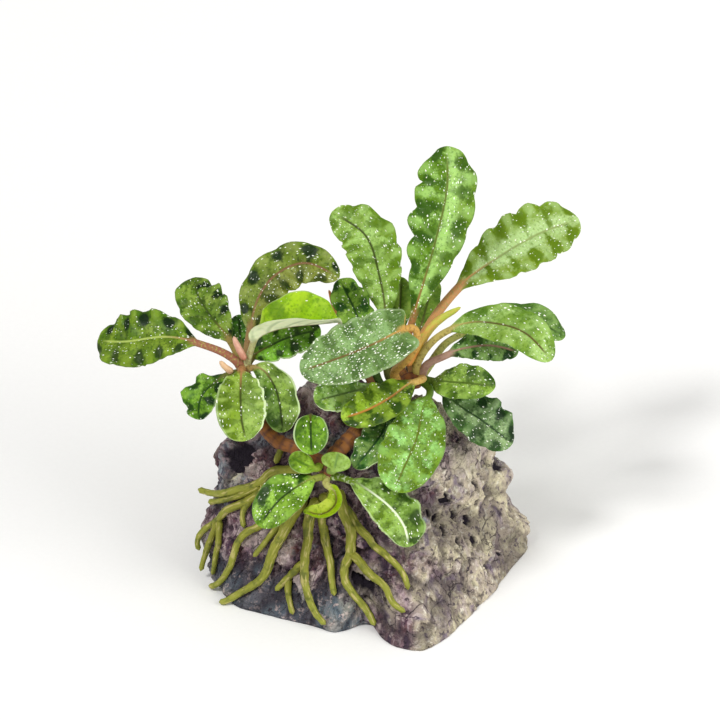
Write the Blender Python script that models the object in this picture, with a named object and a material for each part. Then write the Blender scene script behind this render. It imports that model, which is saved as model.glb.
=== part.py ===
"""A bucephalandra grown onto a loose lump of porous lava rock.

Lengths are millimetres, and MM turns them into metres where a mesh is made. The stone's
corners are plain (x, y, z) with z = 0 on the surface it rests on. The plant is laid out on
a slanted drawing plane that faces a viewer who looks 30 degrees down on it: each of its
points is (right, up, near), and place() turns that into x, y and z.
"""

import math
import random
from collections import namedtuple

import bmesh
import bpy
from mathutils import Vector, noise
from mathutils.bvhtree import BVHTree
from mathutils.geometry import interpolate_bezier, intersect_point_line

MM = 0.001
SLANT = math.radians(30)
GAP = 0.35          # between neighbouring pieces
FAR_OFF = 90        # a distance toward the viewer that is clear of the whole object

# The stone
STONE_CORE = (0, 2, 20)
STONE_CORNERS = (
    (14.5, -43, -3), (-11, -26.5, -3), (-34, -15.5, -3), (-40.5, 2, -3), (-36, 22, -3), (-18, 34, -3),
    (10, 38, -3), (31, 31, -3), (43.5, 16, -3), (21.5, -33, -3),
    (-43, 7, 13), (-38.5, 25, 16), (45, 20, 4.5), (20, 39, 17), (-12, 38, 24),
    (-38, 8.5, 38), (-34, 22, 34), (-9.5, -8, 36.5), (16.5, -2, 40.5), (26, 12, 38),
    (36, 21.5, 25.6), (25, 30, 33), (-17, 10, 51), (-8, 20, 52.5), (6, 16, 50), (14, 14, 48), (-2, 30, 42),
)
STONE_SUBDIVISIONS = 4
STONE_SMOOTHING = 0.3
LUMP_SIZE = 13.0
LUMP_HEIGHT = 1.8
LUMP_STEEPNESS = 1.6
PALE_FACE_LUMPS = 0.5      # the beige side is smoother: only this share of each lump's height
BREAK_SIZE = 15.0          # flat faces where the rock broke, each tilted its own way
BREAK_TILT = 0.32
SWELL_SIZE = 26.0
SWELL_HEIGHT = 2.2
LEDGE_SPACING = 11.0
LEDGE_DEPTH = 1.1
LEDGE_SLOPE = 0.35
LEDGE_WANDER = 3.0
UNWORN_FOOT = 3.0   # height over which the weathering fades out toward the flat underside

# Pits seen on the beige face: right, up, radius and depth
FRONT_PITS = (
    (27.6, 24.9, 1.7, 2.4), (20.8, 22.0, 1.5, 2.0), (29.1, 21.9, 1.5, 2.0), (17.7, 17.6, 1.3, 1.8),
    (20.0, 16.3, 1.6, 2.2), (25.5, 16.8, 1.6, 2.2), (29.6, 15.5, 1.7, 2.4), (22.1, 12.7, 1.8, 2.4),
    (25.0, 10.1, 1.5, 2.0), (29.1, 9.8, 1.6, 2.2), (35.9, 7.0, 1.4, 1.8), (32.0, 2.5, 1.6, 2.2),
    (-1.6, 0.2, 3.0, 3.6), (-34.5, 32.5, 5.0, 3.6),
)
# Broad hollows, or knobs where the depth is below zero: right, up, radius and depth
HOLLOWS = (
    (-0.5, -14.4, 9.5, 9.5), (41.0, 20.0, 9.0, 5.5), (18.0, 1.6, 3.6, 1.6), (18.2, -2.6, 3.6, 1.6),
    (17.6, -6.6, 3.6, 1.4), (31.5, 28.5, 4.5, -1.2), (38.5, 14.5, 4.0, -1.0), (-36.5, 24.0, 4.5, -1.4),
    (27.0, 1.5, 4.5, 1.2), (33.0, -4.0, 5.0, -1.2), (-24.0, 1.0, 6.0, 1.8), (9.5, 13.0, 6.0, 1.8),
)

PIT_RINGS = (2.6, 0.8)     # how far round a pit the mesh is made finer, twice over
PIT_STEEPNESS = 0.6
OTHER_PITS = 16
OTHER_PIT_RADIUS = (1.8, 3.0)
OTHER_PIT_DEPTH = 1.1      # for each millimetre of radius
OTHER_PIT_ROOM = 2.0
LOWEST_PIT = 5.0
OTHER_PIT_SEED = 11

# Stems: the points they pass through, their radii at both ends and their number of rings
RHIZOME_RADII = (2.3, 1.9)
RHIZOME_RINGS = 15
LEFT_STEM_RADII = (1.7, 1.8)
LEFT_STEM_RINGS = 11
STEM_SIDES = 8
STEM_ROOM = 1.15           # the stem's middle lies this many radii and a gap from the stone
SCAR_SWELLING = (-0.06, 0.14)
STEM_END = 0.6
RHIZOME_PATH = (
    (14.6, 53.0, 15.4), (10.4, 51.8, 15.4), (6.2, 49.3, 16.6), (2.5, 45.0, 20.0),
    (-1.6, 40.0, 23.8), (-6.0, 35.6, 26.8), (-9.8, 31.0, 28.4), (-10.4, 26.4, 28.2),
)
LEFT_STEM_PATH = (
    (-13.4, 32.0, 29.0), (-18.0, 34.6, 28.2), (-23.6, 37.0, 27.0), (-28.4, 43.0, 25.6),
    (-31.2, 50.0, 24.4), (-32.0, 55.2, 23.8),
)

# Colour and roughness of each material
MATERIALS = {
    "lava_rock": ((0.16, 0.12, 0.12), 0.95),
    "rhizome_brown": ((0.25, 0.11, 0.04), 0.6),
    "root_olive": ((0.30, 0.29, 0.06), 0.6),
    "sheath_orange": ((0.62, 0.33, 0.11), 0.4),
    "mature_green": ((0.16, 0.33, 0.05), 0.4),
    "blue_green": ((0.12, 0.25, 0.11), 0.4),
    "young_lime": ((0.38, 0.60, 0.06), 0.4),
    "olive_green": ((0.22, 0.27, 0.06), 0.4),
}

Leaf = namedtuple(
    "Leaf",
    "name green midrib wide facing stalk widest taper blunt fold cup waves wave_depth thick_stalk rings "
    "bends",
    defaults=((0, 0.3, 0.95), 0.2, 0.55, 0.9, 0.5, 8, 0.0, 4, 0.8, 0.95, 12, 0),
)

LEAVES = (
    # Left rosette
    Leaf("left_leaf_1", "olive_green",
         ((-34.4, 57.8, 26.4), (-40.8, 61.0, 26.6), (-51.7, 63.6, 26), (-62.9, 62.4, 23),
          (-70.0, 62.6, 18.6)),
         7.8, (0, 0.35, 0.94), 0.28, waves=5, wave_depth=1.0),
    Leaf("left_leaf_2", "mature_green",
         ((-33.9, 59.6, 23.0), (-36.2, 63.5, 19.4), (-41.2, 69.8, 14.0), (-44.4, 75.2, 9), (-44.8, 79.2, 6)),
         6.3, (0, 0.15, 0.98), 0.16, 0.62, waves=4),
    Leaf("left_leaf_3", "olive_green",
         ((-31.3, 59.2, 21.4), (-30.3, 66, 18.6), (-28.2, 74, 15.8), (-23.6, 80, 14.6), (-16, 82.9, 16.2),
          (-7.2, 79.2, 19)),
         6.0, (-0.1, 0.1, 1), 0.16, 0.5, taper=0.7, waves=4, wave_depth=0.7),
    Leaf("left_leaf_4", "young_lime",
         ((-30.0, 60.6, 26.0), (-28.6, 63.6, 29.4), (-25.2, 65.3, 32.2), (-19.4, 66.6, 33.8), (-12.6, 67.2, 33.8),
          (-7.2, 67.6, 32.0)),
         8.4, ((0, 1, 0.25), (0, 0.7, 0.7)), 0.1, 0.58, taper=0.75, blunt=0.5, fold=50,
         waves=1, wave_depth=0.3, rings=10),
    Leaf("left_leaf_5", "blue_green",
         ((-30.2, 57.8, 23.0), (-27.2, 60.2, 23.8), (-20.6, 63.4, 24.8), (-12.0, 65.6, 24.6)),
         5.5, (0, 0.3, 0.95), 0.04, taper=0.65, waves=3, wave_depth=0.9),
    Leaf("left_leaf_6", "blue_green",
         ((-32.2, 59.2, 19.4), (-33.0, 64, 15), (-33.4, 69.4, 11)),
         3.2, waves=2, wave_depth=0.4, rings=8),
    Leaf("left_leaf_7", "mature_green",
         ((-32.4, 55.4, 27.6), (-32.6, 53.2, 31.4), (-32.7, 47.5, 35.4), (-32.3, 41.5, 37.4),
          (-31.2, 36.8, 37.2)),
         6.7, (0, 0.45, 0.9), 0.1, 0.6, taper=0.7, fold=14, waves=4),
    Leaf("left_leaf_8", "mature_green",
         ((-30.0, 55.6, 26.0), (-26.4, 54.4, 28), (-23.2, 48.7, 29.2), (-21.8, 38.9, 28.8)),
         5.1, (0.1, 0.45, 0.9), 0.04, 0.6, taper=0.7, fold=12, waves=3, wave_depth=0.6),
    Leaf("left_leaf_9", "blue_green",
         ((-35.4, 54.0, 24.8), (-38.8, 52.2, 25.8), (-42.9, 48.2, 27.2), (-43.8, 42.2, 26.6)),
         4.6, (-0.2, 0.5, 0.85), 0.1, waves=3, wave_depth=1.0, rings=10),
    # Right rosette
    Leaf("right_leaf_1", "mature_green",
         ((5.6, 53.9, 12.4), (5.3, 62, 9.4), (4.8, 70.7, 5.0), (3.2, 80, -0.6), (-0.4, 90.4, -7.4),
          (-9.2, 96.6, -11.4)),
         7.1, (0, 0.28, 0.96), 0.3, 0.6, waves=5, wave_depth=0.9),
    Leaf("right_leaf_2", "mature_green",
         ((8.9, 55.9, 12.4), (10.2, 62, 12.8), (13.6, 74, 14.4), (17.4, 87, 16), (20.8, 102, 15.6),
          (20.8, 113.4, 12.4)),
         8.0, (0, 0.28, 0.96), 0.2, 0.68, taper=1.3, waves=6, wave_depth=1.0),
    Leaf("right_leaf_3", "mature_green",
         ((12.2, 56.5, 13.6), (16.4, 66.8, 11), (24.4, 77.0, 7.4), (33.6, 84.0, 4), (45.2, 90.8, -1),
          (55.6, 94.6, -6)),
         8.3, (0, 0.3, 0.95), 0.38, 0.6, taper=1.0, waves=5, wave_depth=0.9, thick_stalk=1.2),
    Leaf("right_leaf_4", "mature_green",
         ((13.0, 56.6, 17.2), (17.6, 63.0, 20), (24.4, 66.6, 23.4), (31, 67.4, 26.4), (40.6, 64.8, 30.6),
          (47.8, 57.6, 32)),
         6.2, (0, 0.55, 0.84), 0.3, waves=3, wave_depth=0.4),
    Leaf("right_leaf_5", "blue_green",
         ((15.6, 56.4, 17.8), (19.6, 58.4, 18.6), (25.2, 60.6, 19.2), (32, 61.4, 18.6), (39.4, 59.8, 17)),
         4.4, (0, 0.4, 0.92), 0.26, waves=4, wave_depth=0.9),
    Leaf("right_leaf_6", "mature_green",
         ((17.4, 52.2, 18.6), (20.6, 52.0, 22.4), (26.6, 51.6, 27), (33.2, 50.7, 29.4)),
         5.2, (0.1, 0.35, 0.93), 0.02, 0.52, taper=0.6, waves=2, wave_depth=0.4, rings=10),
    Leaf("right_leaf_7", "young_lime",
         ((16.4, 49.8, 19.0), (14.5, 45, 26.0), (12.7, 37, 31.6), (9.4, 29.5, 35.4), (6.8, 23.8, 37)),
         8.2, (0.05, 0.4, 0.92), 0.1, 0.64, taper=0.85, fold=10, waves=4, wave_depth=0.6),
    Leaf("right_leaf_8", "blue_green",
         ((18.4, 50.2, 15.4), (22.4, 46.8, 17.8), (29.6, 42.1, 18.6), (37.8, 35.8, 16.4)),
         7.0, (0.2, 0.4, 0.9), 0.1, waves=3, wave_depth=0.9),
    Leaf("right_leaf_9", "mature_green",
         ((16.0, 56.0, 14.4), (21.4, 62.6, 12), (32, 66.8, 9.6), (42.6, 68.0, 8), (51.8, 63.8, 6)),
         5.0, (0, 0.5, 0.86), 0.3, waves=3, wave_depth=0.5),
    Leaf("front_leaf_1", "blue_green",
         ((7.2, 54.4, 19.4), (10.4, 57.8, 25.0), (12.8, 62.4, 29.2), (12.2, 65.8, 31.2), (8.8, 65.2, 32.4),
          (2.6, 62.2, 34.4), (-5.0, 59.0, 36.6), (-17.2, 54.6, 36.8)),
         8.1, (-0.1, 0.25, 0.96), 0.41, 0.45, taper=0.35, waves=4, wave_depth=0.6, rings=16,
         bends=3),
    Leaf("front_leaf_2", "blue_green",
         ((2.4, 50.8, 18.6), (-1.4, 50.0, 22.2), (-7, 48.7, 25.6), (-13.6, 46.9, 28.2)),
         5.7, (-0.1, 0.4, 0.9), 0.12, waves=4, wave_depth=0.8),
    Leaf("front_leaf_3", "young_lime",
         ((14.4, 52.6, 19.6), (10.8, 51.2, 24), (5.8, 47.8, 28.6), (0, 44.7, 31.6), (-6.6, 42.4, 32.6)),
         5.6, (-0.1, 0.35, 0.93), 0.14, waves=4, wave_depth=0.7),
    Leaf("front_leaf_4", "blue_green",
         ((8.2, 46.2, 19.6), (6.0, 42.6, 23.4), (3.2, 37.6, 28), (-0.2, 33.2, 30.2), (-3.4, 29.8, 30.6)),
         4.6, (-0.1, 0.4, 0.92), 0.14, waves=4, wave_depth=0.8),
    Leaf("back_leaf_1", "blue_green",
         ((7.2, 54.9, 9.6), (8.4, 66, 2.6), (9.0, 79.4, -4.4)),
         3.0, stalk=0.4, waves=2, wave_depth=0.5, rings=8),
    Leaf("back_leaf_2", "blue_green",
         ((11.2, 55.6, 9.8), (14.6, 68, 1.8), (17.6, 79, -6)),
         3.2, stalk=0.4, waves=2, wave_depth=0.5, rings=8),
    Leaf("back_leaf_3", "blue_green",
         ((3.2, 51.8, 13.0), (1.0, 60, 10), (-3.2, 70.6, 6.4), (-7.2, 78.8, 3)),
         4.9, stalk=0.4, waves=3, wave_depth=0.9, rings=10),
    # Low rosette
    Leaf("low_leaf_1", "mature_green",
         ((-12.8, 27.2, 31.4), (-17, 25.5, 34.4), (-22.5, 21.6, 37), (-28.0, 14.8, 37.4)),
         5.9, (-0.1, 0.4, 0.9), 0.06, waves=2, wave_depth=0.4),
    Leaf("low_leaf_2", "young_lime",
         ((-10.6, 25.6, 31.2), (-8.2, 23.6, 34), (-8.2, 20.2, 36), (-11.8, 17.7, 36.6), (-16.4, 18.6, 36)),
         3.2, ((-0.6, -0.2, 0.7), (0.1, 0.7, 0.7)), 0.1, fold=40, waves=1, wave_depth=0.2, rings=10),
    Leaf("low_leaf_3", "mature_green",
         ((-6.6, 27.2, 30.2), (-1.8, 25.2, 33.2), (5.3, 20.2, 34.6), (9.4, 15, 35.8), (10.9, 9.4, 36)),
         6.3, (0.1, 0.4, 0.9), 0.12, 0.6, waves=4, wave_depth=0.7),
    Leaf("low_leaf_4", "mature_green",
         ((-8.8, 29.0, 32.4), (-8.1, 31.0, 34.2), (-7.5, 33.8, 34.6)),
         3.9, (0, 0.1, 1), 0.1, waves=1, wave_depth=0.2, rings=8),
    Leaf("low_leaf_5", "young_lime",
         ((-12.9, 29.6, 31.4), (-16, 30.6, 33.0), (-20.0, 32.8, 33.2)),
         2.9, (0, 0.3, 0.95), 0.1, waves=1, wave_depth=0.3, rings=8),
    Leaf("low_leaf_6", "mature_green",
         ((-13.2, 36.4, 27.6), (-14.2, 40.2, 27.4), (-14.6, 43.0, 29.8), (-14.6, 41.2, 32.8),
          (-14.5, 37.2, 34.6), (-14.3, 33.2, 35.8)),
         4.6, ((0, 0.5, -1), (0, 0.3, 0.95)), 0.42, 0.6, cup=0.35, waves=1, wave_depth=0.2,
         rings=13, bends=2),
)

BLADE_THICKNESS = 0.36     # from the middle of the blade to each face, at the midrib
THINNEST = 0.28
STALK_FLATNESS = 0.85
STALK_FADE = 3.0           # the stalk's own thickness is gone at a third of the blade
STALK_THINNING = 0.7
RING_CROWDING = 0.09
WAVE_OFFSET = 2.2          # so that the two edges of a leaf don't wave together

# Sheaths and buds: narrow, round and pointed, with their widest radius
Sheath = namedtuple("Sheath", "name path radius")
SHEATHS = (
    Sheath("left_sheath", ((-31.6, 57.6, 27.4), (-33.4, 61, 28.4), (-34.6, 63.8, 28.4)), 0.95),
    Sheath("left_bract", ((-35.0, 54.6, 28.2), (-36.4, 55.6, 30.2), (-38.2, 57.4, 30.6)), 0.9),
    Sheath("right_sheath", ((10.4, 56.0, 17.6), (13.0, 61, 18.2), (18, 67.4, 17), (24.4, 71.4, 17.6)), 1.2),
    Sheath("right_bud", ((2.2, 49.8, 16.0), (-2.4, 58.5, 10.5), (-7.0, 68, 4.6), (-10.0, 76.0, 1.6)), 1.1),
)
SHEATH_OUTLINE = ((0, 0.75), (0.15, 1), (0.4, 1), (0.7, 0.85), (0.9, 0.65), (1, 0.25))
SHEATH_SIDES = 6

# Roots: (right, up) points that are laid on the stone, and the radius at each end
Root = namedtuple("Root", "name path start_radius end_radius")
ROOTS = (
    Root("root_1", ((-14.6, 27.6), (-20, 29), (-24.7, 28.6), (-28, 25.6), (-33.5, 24.0), (-39.8, 22.7),
                    (-44.2, 23.9)), 1.15, 0.5),
    Root("root_1_fork", ((-27.6, 25.4), (-31, 23.2), (-36, 21.6), (-41.5, 20.4)), 0.8, 0.45),
    Root("root_2", ((-26, 24.6), (-31, 21), (-36.2, 18.6), (-39.2, 15.4), (-42.9, 13.0), (-44.7, 10.1),
                    (-43.9, 7.8)), 0.9, 0.4),
    Root("root_2_fork", ((-38.8, 15.0), (-40.2, 11.4), (-42.2, 7.2), (-43.6, 2.4)), 0.7, 0.4),
    Root("root_2_twig", ((-38.2, 15.2), (-38.6, 10), (-39.4, 5.2), (-40.4, 1.4)), 0.6, 0.35),
    Root("root_3", ((-30.6, 20.8), (-32.6, 17.6), (-32.0, 13.9)), 0.6, 0.35),
    Root("root_4", ((-15.2, 24.8), (-22, 19.2), (-27.3, 14.7), (-32, 12.4), (-34.3, 8.3), (-35.6, 3.6),
                    (-38.4, -0.4), (-41.4, -2.4)), 1.0, 0.45),
    Root("root_5", ((-21, 17.2), (-24.2, 12.9), (-27, 9.6), (-29.6, 6.4)), 0.65, 0.35),
    Root("root_6", ((-15.8, 22.0), (-19.0, 17.6), (-21.4, 13.3), (-24.2, 8), (-26, 2.8), (-28.3, -0.3),
                    (-34.1, -3.6), (-38.6, -7.2)), 1.4, 0.5),
    Root("root_7", ((-12.4, 21.8), (-14.2, 19), (-15.2, 16), (-15.3, 10.6), (-16.2, 5.4), (-16.1, 0.5),
                    (-14.8, -5.3), (-13, -8.6), (-10.7, -11)), 1.3, 0.5),
    Root("root_7_fork", ((-16.4, 5.2), (-19.8, 1.8), (-23.9, -2.4)), 0.85, 0.4),
    Root("root_7_twig", ((-20.2, 1.2), (-20.4, -4.2), (-19.2, -8.6)), 0.7, 0.35),
    Root("root_8", ((-9.8, 22.2), (-11, 18.4), (-11.2, 15.3), (-10.6, 9.3), (-9.4, 4.9), (-9.2, 1),
                    (-8.4, -3.6)), 1.1, 0.5),
    Root("root_9", ((-7.2, 22.8), (-6.2, 18.9), (-4.4, 14.8), (-3.6, 10.6), (-4.2, 7), (-6.0, 3.6),
                    (-5.4, -0.4), (-2.6, -4.2), (0.5, -8), (2.3, -11.2)), 1.3, 0.5),
    Root("root_9_fork", ((-3.6, 7.2), (-1.6, 5.2), (1, 1.8), (4.7, -0.8), (6.5, -5.3), (9.9, -7.6)),
         0.95, 0.4),
    Root("root_10", ((-5.4, 19.6), (-2.2, 14), (2.3, 9.4), (6.5, 5.7), (9.4, 2.3), (10.7, -1.4)), 0.95, 0.4),
    Root("root_11", ((-19.6, 37.0), (-22.1, 34.6), (-23.4, 32.0), (-23.8, 30.6)), 0.75, 0.5),
)
ROOT_SPACING = 3.2
ROOT_SIDES = 5
ROOT_LIFT = 0.6
SPOTS_BETWEEN = (0.0, 0.25, 0.5, 0.75, 1.0)     # where a root is tested between two of its points
OVERHANG_DROP = 0.4        # how far a root sinks at each ring where there is no stone behind it
CUTS = 4                   # the finer steps in which a root's start is cut back


def place(right, up, near):
    """A point of the slanted drawing plane, as x, y and z in millimetres."""
    return Vector((
        right,
        up * math.sin(SLANT) - near * math.cos(SLANT),
        up * math.cos(SLANT) + near * math.sin(SLANT),
    ))


def make_material(name):
    colour, roughness = MATERIALS[name]
    material = bpy.data.materials.new(name)
    material.use_nodes = True
    shader = material.node_tree.nodes["Principled BSDF"]
    shader.inputs["Base Color"].default_value = (*colour, 1)
    shader.inputs["Roughness"].default_value = roughness
    shader.inputs["Metallic"].default_value = 0
    material.diffuse_color = (*colour, 1)
    return material


def finish_object(name, bm, material, smooth=True):
    """Turns a mesh in millimetres into a named object in metres."""
    bmesh.ops.scale(bm, vec=(MM, MM, MM), verts=bm.verts[:])
    mesh = bpy.data.meshes.new(name)
    bm.to_mesh(mesh)
    bm.free()
    mesh.materials.append(material)
    for face in mesh.polygons:
        face.use_smooth = smooth
    piece = bpy.data.objects.new(name, mesh)
    bpy.context.scene.collection.objects.link(piece)
    return piece


def smooth_path(points, steps=12):
    """Closely spaced points on a smooth curve through the given ones."""
    last = len(points) - 1
    tangents = [
        (points[min(i + 1, last)] - points[max(i - 1, 0)]).normalized()
        for i in range(last + 1)
    ]
    path = []
    for i in range(last):
        reach = (points[i + 1] - points[i]).length / 3
        stretch = interpolate_bezier(
            points[i], points[i] + tangents[i] * reach,
            points[i + 1] - tangents[i + 1] * reach, points[i + 1], steps + 1,
        )
        path.extend(stretch[:-1])
    path.append(points[last])
    return path


def walk(path, shares):
    """The point and direction at each share of the path's length."""
    lengths = [0.0]
    for a, b in zip(path, path[1:]):
        lengths.append(lengths[-1] + (b - a).length)
    found = []
    i = 0
    for share in shares:
        goal = share * lengths[-1]
        while i < len(path) - 2 and lengths[i + 1] < goal:
            i += 1
        part = (goal - lengths[i]) / (lengths[i + 1] - lengths[i])
        direction = path[i + 1] - path[i]
        found.append((path[i].lerp(path[i + 1], part), direction.normalized()))
    return found


def tube_mesh(sides, rings, point_at):
    """A closed tube, with each point moved to point_at(ring, angle round the tube)."""
    bm = bmesh.new()
    bmesh.ops.create_cone(bm, cap_ends=True, segments=sides, radius1=1, radius2=1, depth=1)
    lengthwise = [e for e in bm.edges if abs(e.verts[0].co.z - e.verts[1].co.z) > 0.5]
    bmesh.ops.subdivide_edges(bm, edges=lengthwise, cuts=rings - 2, use_grid_fill=True)
    for vert in bm.verts:
        ring = round((vert.co.z + 0.5) * (rings - 1))
        vert.co = point_at(ring, math.atan2(vert.co.y, vert.co.x))
    # Split across the shorter diagonal, so that the two skins of a twisted blade stay apart
    bmesh.ops.triangulate(bm, faces=bm.faces[:], quad_method="SHORT_EDGE")
    return bm


# The stone

def stone_hull():
    bm = bmesh.new()
    for corner in STONE_CORNERS:
        bm.verts.new(corner)
    hull = bmesh.ops.convex_hull(bm, input=bm.verts[:])
    inner = [v for v in hull["geom_interior"] if isinstance(v, bmesh.types.BMVert)]
    bmesh.ops.delete(bm, geom=inner, context="VERTS")
    return bm


def pale_share(point):
    """How far the point lies on the stone's beige side, from 0 to 1."""
    wander = 6 * noise.fractal(point / 12, 1.0, 2.0, 3)
    return min(1.0, max(0.0, (point.x + 0.35 * point.y + wander - 6) / 11))


def broken_faces(point, size, tilt):
    """The height of a patchwork of flat faces that many millimetres across, each with its own tilt."""
    centre = noise.voronoi(point / size)[1][0] * size
    leaning = noise.cell_vector(centre) - Vector((0.5, 0.5, 0.5))
    return (point - centre).dot(leaning) * tilt


def weathering(point):
    """How far the surface stands out, in millimetres: lumps, broad swells, ledges, broken faces."""
    nearest = noise.voronoi(point / LUMP_SIZE)[0]
    lump = min(1.0, (nearest[1] - nearest[0]) * LUMP_STEEPNESS) - 0.5
    swell = noise.fractal(point / SWELL_SIZE, 1.0, 2.0, 3)
    level = point.z + LEDGE_SLOPE * point.x + LEDGE_WANDER * noise.noise(point / SWELL_SIZE)
    ledge = abs((level / LEDGE_SPACING % 1.0) - 0.5) * 2 - 0.5
    softness = 1 - (1 - PALE_FACE_LUMPS) * pale_share(point)
    broad = LUMP_HEIGHT * lump * softness + SWELL_HEIGHT * swell + LEDGE_DEPTH * ledge
    return broad + broken_faces(point, BREAK_SIZE, BREAK_TILT)


def found_on(surface, marks):
    """The marks that are given as they are seen from the front, as points on the surface."""
    toward = place(0, 0, 1)
    found = []
    for right, up, radius, depth in marks:
        hit = surface.ray_cast(place(right, up, FAR_OFF), -toward)[0]
        if hit:
            found.append((hit, radius, depth))
    return found


def hollow_depth(point, hollows):
    depths = (
        depth * max(0.0, 1 - ((point - centre).length / radius) ** 2) ** 2
        for centre, radius, depth in hollows
    )
    return sum(depths)


def pit_centres(surface):
    """The pits on the face that shows, then others spread over the rest of the stone."""
    toward = place(0, 0, 1)
    pits = found_on(surface, FRONT_PITS)
    chance = random.Random(OTHER_PIT_SEED)
    core = Vector(STONE_CORE)
    while len(pits) < len(FRONT_PITS) + OTHER_PITS:
        direction = Vector((chance.gauss(0, 1), chance.gauss(0, 1), chance.gauss(0, 1))).normalized()
        radius = chance.uniform(*OTHER_PIT_RADIUS)
        hit = surface.ray_cast(core, direction)[0]
        hidden_side = direction.dot(toward) < 0.25
        clear = all((hit - pit[0]).length > pit[1] + radius + OTHER_PIT_ROOM for pit in pits)
        if hidden_side and clear and hit.z > LOWEST_PIT:
            pits.append((hit, radius, radius * OTHER_PIT_DEPTH))
    return pits


def pit_depth(point, pits):
    deepest = 0.0
    for centre, radius, depth in pits:
        away = (point - centre).length / radius
        if away < 1:
            deepest = max(deepest, depth * (1 - away * away) ** PIT_STEEPNESS)
    return deepest


def build_stone():
    core = Vector(STONE_CORE)
    hull = stone_hull()
    hull_tree = BVHTree.FromBMesh(hull)
    pits = pit_centres(hull_tree)
    hollows = found_on(hull_tree, HOLLOWS)
    bm = bmesh.new()
    bmesh.ops.create_icosphere(bm, subdivisions=STONE_SUBDIVISIONS, radius=1)
    for vert in bm.verts:
        vert.co = hull_tree.ray_cast(core, vert.co.normalized())[0]
    for reach in PIT_RINGS:
        near_pits = [
            edge for edge in bm.edges
            if any(
                ((edge.verts[0].co + edge.verts[1].co) / 2 - centre).length < radius + reach
                for centre, radius, depth in pits
            )
        ]
        bmesh.ops.subdivide_edges(bm, edges=near_pits, cuts=1)
        bmesh.ops.triangulate(bm, faces=[face for face in bm.faces if len(face.verts) > 3])
    bmesh.ops.smooth_vert(
        bm, verts=bm.verts[:], factor=STONE_SMOOTHING, use_axis_x=True, use_axis_y=True, use_axis_z=True
    )
    for vert in bm.verts:
        outward = (vert.co - core).normalized()
        worn = min(1.0, max(0.0, (vert.co.z + 1) / UNWORN_FOOT))
        carved = pit_depth(vert.co, pits) + hollow_depth(vert.co, hollows)
        vert.co += outward * (weathering(vert.co) * worn - carved)
    bmesh.ops.bisect_plane(
        bm, geom=bm.verts[:] + bm.edges[:] + bm.faces[:], dist=1e-4,
        plane_co=(0, 0, 0), plane_no=(0, 0, 1), clear_inner=True,
    )
    for vert in bm.verts:
        if vert.co.z < 0.01:
            vert.co.z = 0
    bmesh.ops.holes_fill(bm, edges=[edge for edge in bm.edges if edge.is_boundary])
    bmesh.ops.triangulate(bm, faces=bm.faces[:])
    bmesh.ops.recalc_face_normals(bm, faces=bm.faces[:])
    hull.free()
    return bm


# Stems and roots

def pushed_off(point, clear, surface):
    """The point, moved out of the stone until it is this far from its surface."""
    found, normal, _, distance = surface.find_nearest(point)
    inside = (point - found).dot(normal) < 0
    if inside:
        return found + normal * clear
    if distance < clear:
        return found + (point - found).normalized() * clear
    return point


def round_frames(stations):
    """A pair of directions square to the path at each station, with no sudden turn."""
    direction = stations[0][1]
    side = direction.cross(Vector((0.3, 0.2, 1))).normalized()
    frames = []
    for _, direction in stations:
        side = (side - direction * side.dot(direction)).normalized()
        frames.append((side, direction.cross(side)))
    return frames


def round_tube(points, radii, sides):
    """A tube along the points, with a radius for each."""
    last = len(points) - 1
    stations = [
        (points[i], (points[min(i + 1, last)] - points[max(i - 1, 0)]).normalized())
        for i in range(last + 1)
    ]
    frames = round_frames(stations)

    def point_at(ring, angle):
        side, rise = frames[ring]
        return points[ring] + (side * math.cos(angle) + rise * math.sin(angle)) * radii[ring]

    return tube_mesh(sides, len(points), point_at)


def stem_points(path, end_radii, count, surface):
    """Points along a stem, clear of the stone, and its radii, with a swelling at each leaf scar."""
    stations = walk(smooth_path([place(*p) for p in path]), [i / (count - 1) for i in range(count)])
    points, radii = [], []
    for i, (point, _) in enumerate(stations):
        radius = end_radii[0] + (end_radii[1] - end_radii[0]) * i / (count - 1)
        points.append(pushed_off(point, radius * STEM_ROOM + GAP, surface))
        radii.append(radius * (1 + SCAR_SWELLING[i % 2]) * (STEM_END if i in (0, count - 1) else 1))
    return points, radii


def laid_on_stone(path, start_radius, end_radius, spacing, surface):
    """Points along a root, dropped onto the stone from the viewer's side, and its radii."""
    flat = smooth_path([Vector((right, up, 0)) for right, up in path])
    length = sum((b - a).length for a, b in zip(flat, flat[1:]))
    count = max(4, round(length / spacing) + 1)
    shares = [i / (count - 1) for i in range(count)]
    toward = place(0, 0, 1)
    nears = []
    for spot, _ in walk(flat, shares):
        hit = surface.ray_cast(place(spot.x, spot.y, FAR_OFF), -toward)[0]
        nears.append(hit.dot(toward) if hit else nears[-1] - OVERHANG_DROP)
    bridged = [
        max(near, (nears[max(i - 1, 0)] + nears[min(i + 1, count - 1)]) / 2)
        for i, near in enumerate(nears)
    ]
    points, radii = [], []
    for (spot, _), near, share in zip(walk(flat, shares), bridged, shares):
        radius = start_radius + (end_radius - start_radius) * share
        point = pushed_off(place(spot.x, spot.y, near + radius), radius + ROOT_LIFT, surface)
        point.z = max(point.z, radius)
        points.append(point)
        radii.append(radius)
    # The stone may stand out between two points, so those next to such a place are moved off too
    for i, share in [(i, share) for i in range(count - 1) for share in SPOTS_BETWEEN] * 4:
        spot = points[i].lerp(points[i + 1], share)
        clear = radii[i] + (radii[i + 1] - radii[i]) * share + ROOT_LIFT
        shift = pushed_off(spot, clear, surface) - spot
        shift.z = max(0.0, shift.z)
        points[i] += shift
        points[i + 1] += shift
    return points, radii


def room_to_stems(point, stems):
    """The distance from the point to the surface of the nearest of the stems."""
    room = math.inf
    for points, radii in stems:
        for a, b, radius_a, radius_b in zip(points, points[1:], radii, radii[1:]):
            foot, part = intersect_point_line(point, a, b)
            part = min(1.0, max(0.0, part))
            room = min(room, (point - a.lerp(b, part)).length - max(radius_a, radius_b))
    return room


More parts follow.
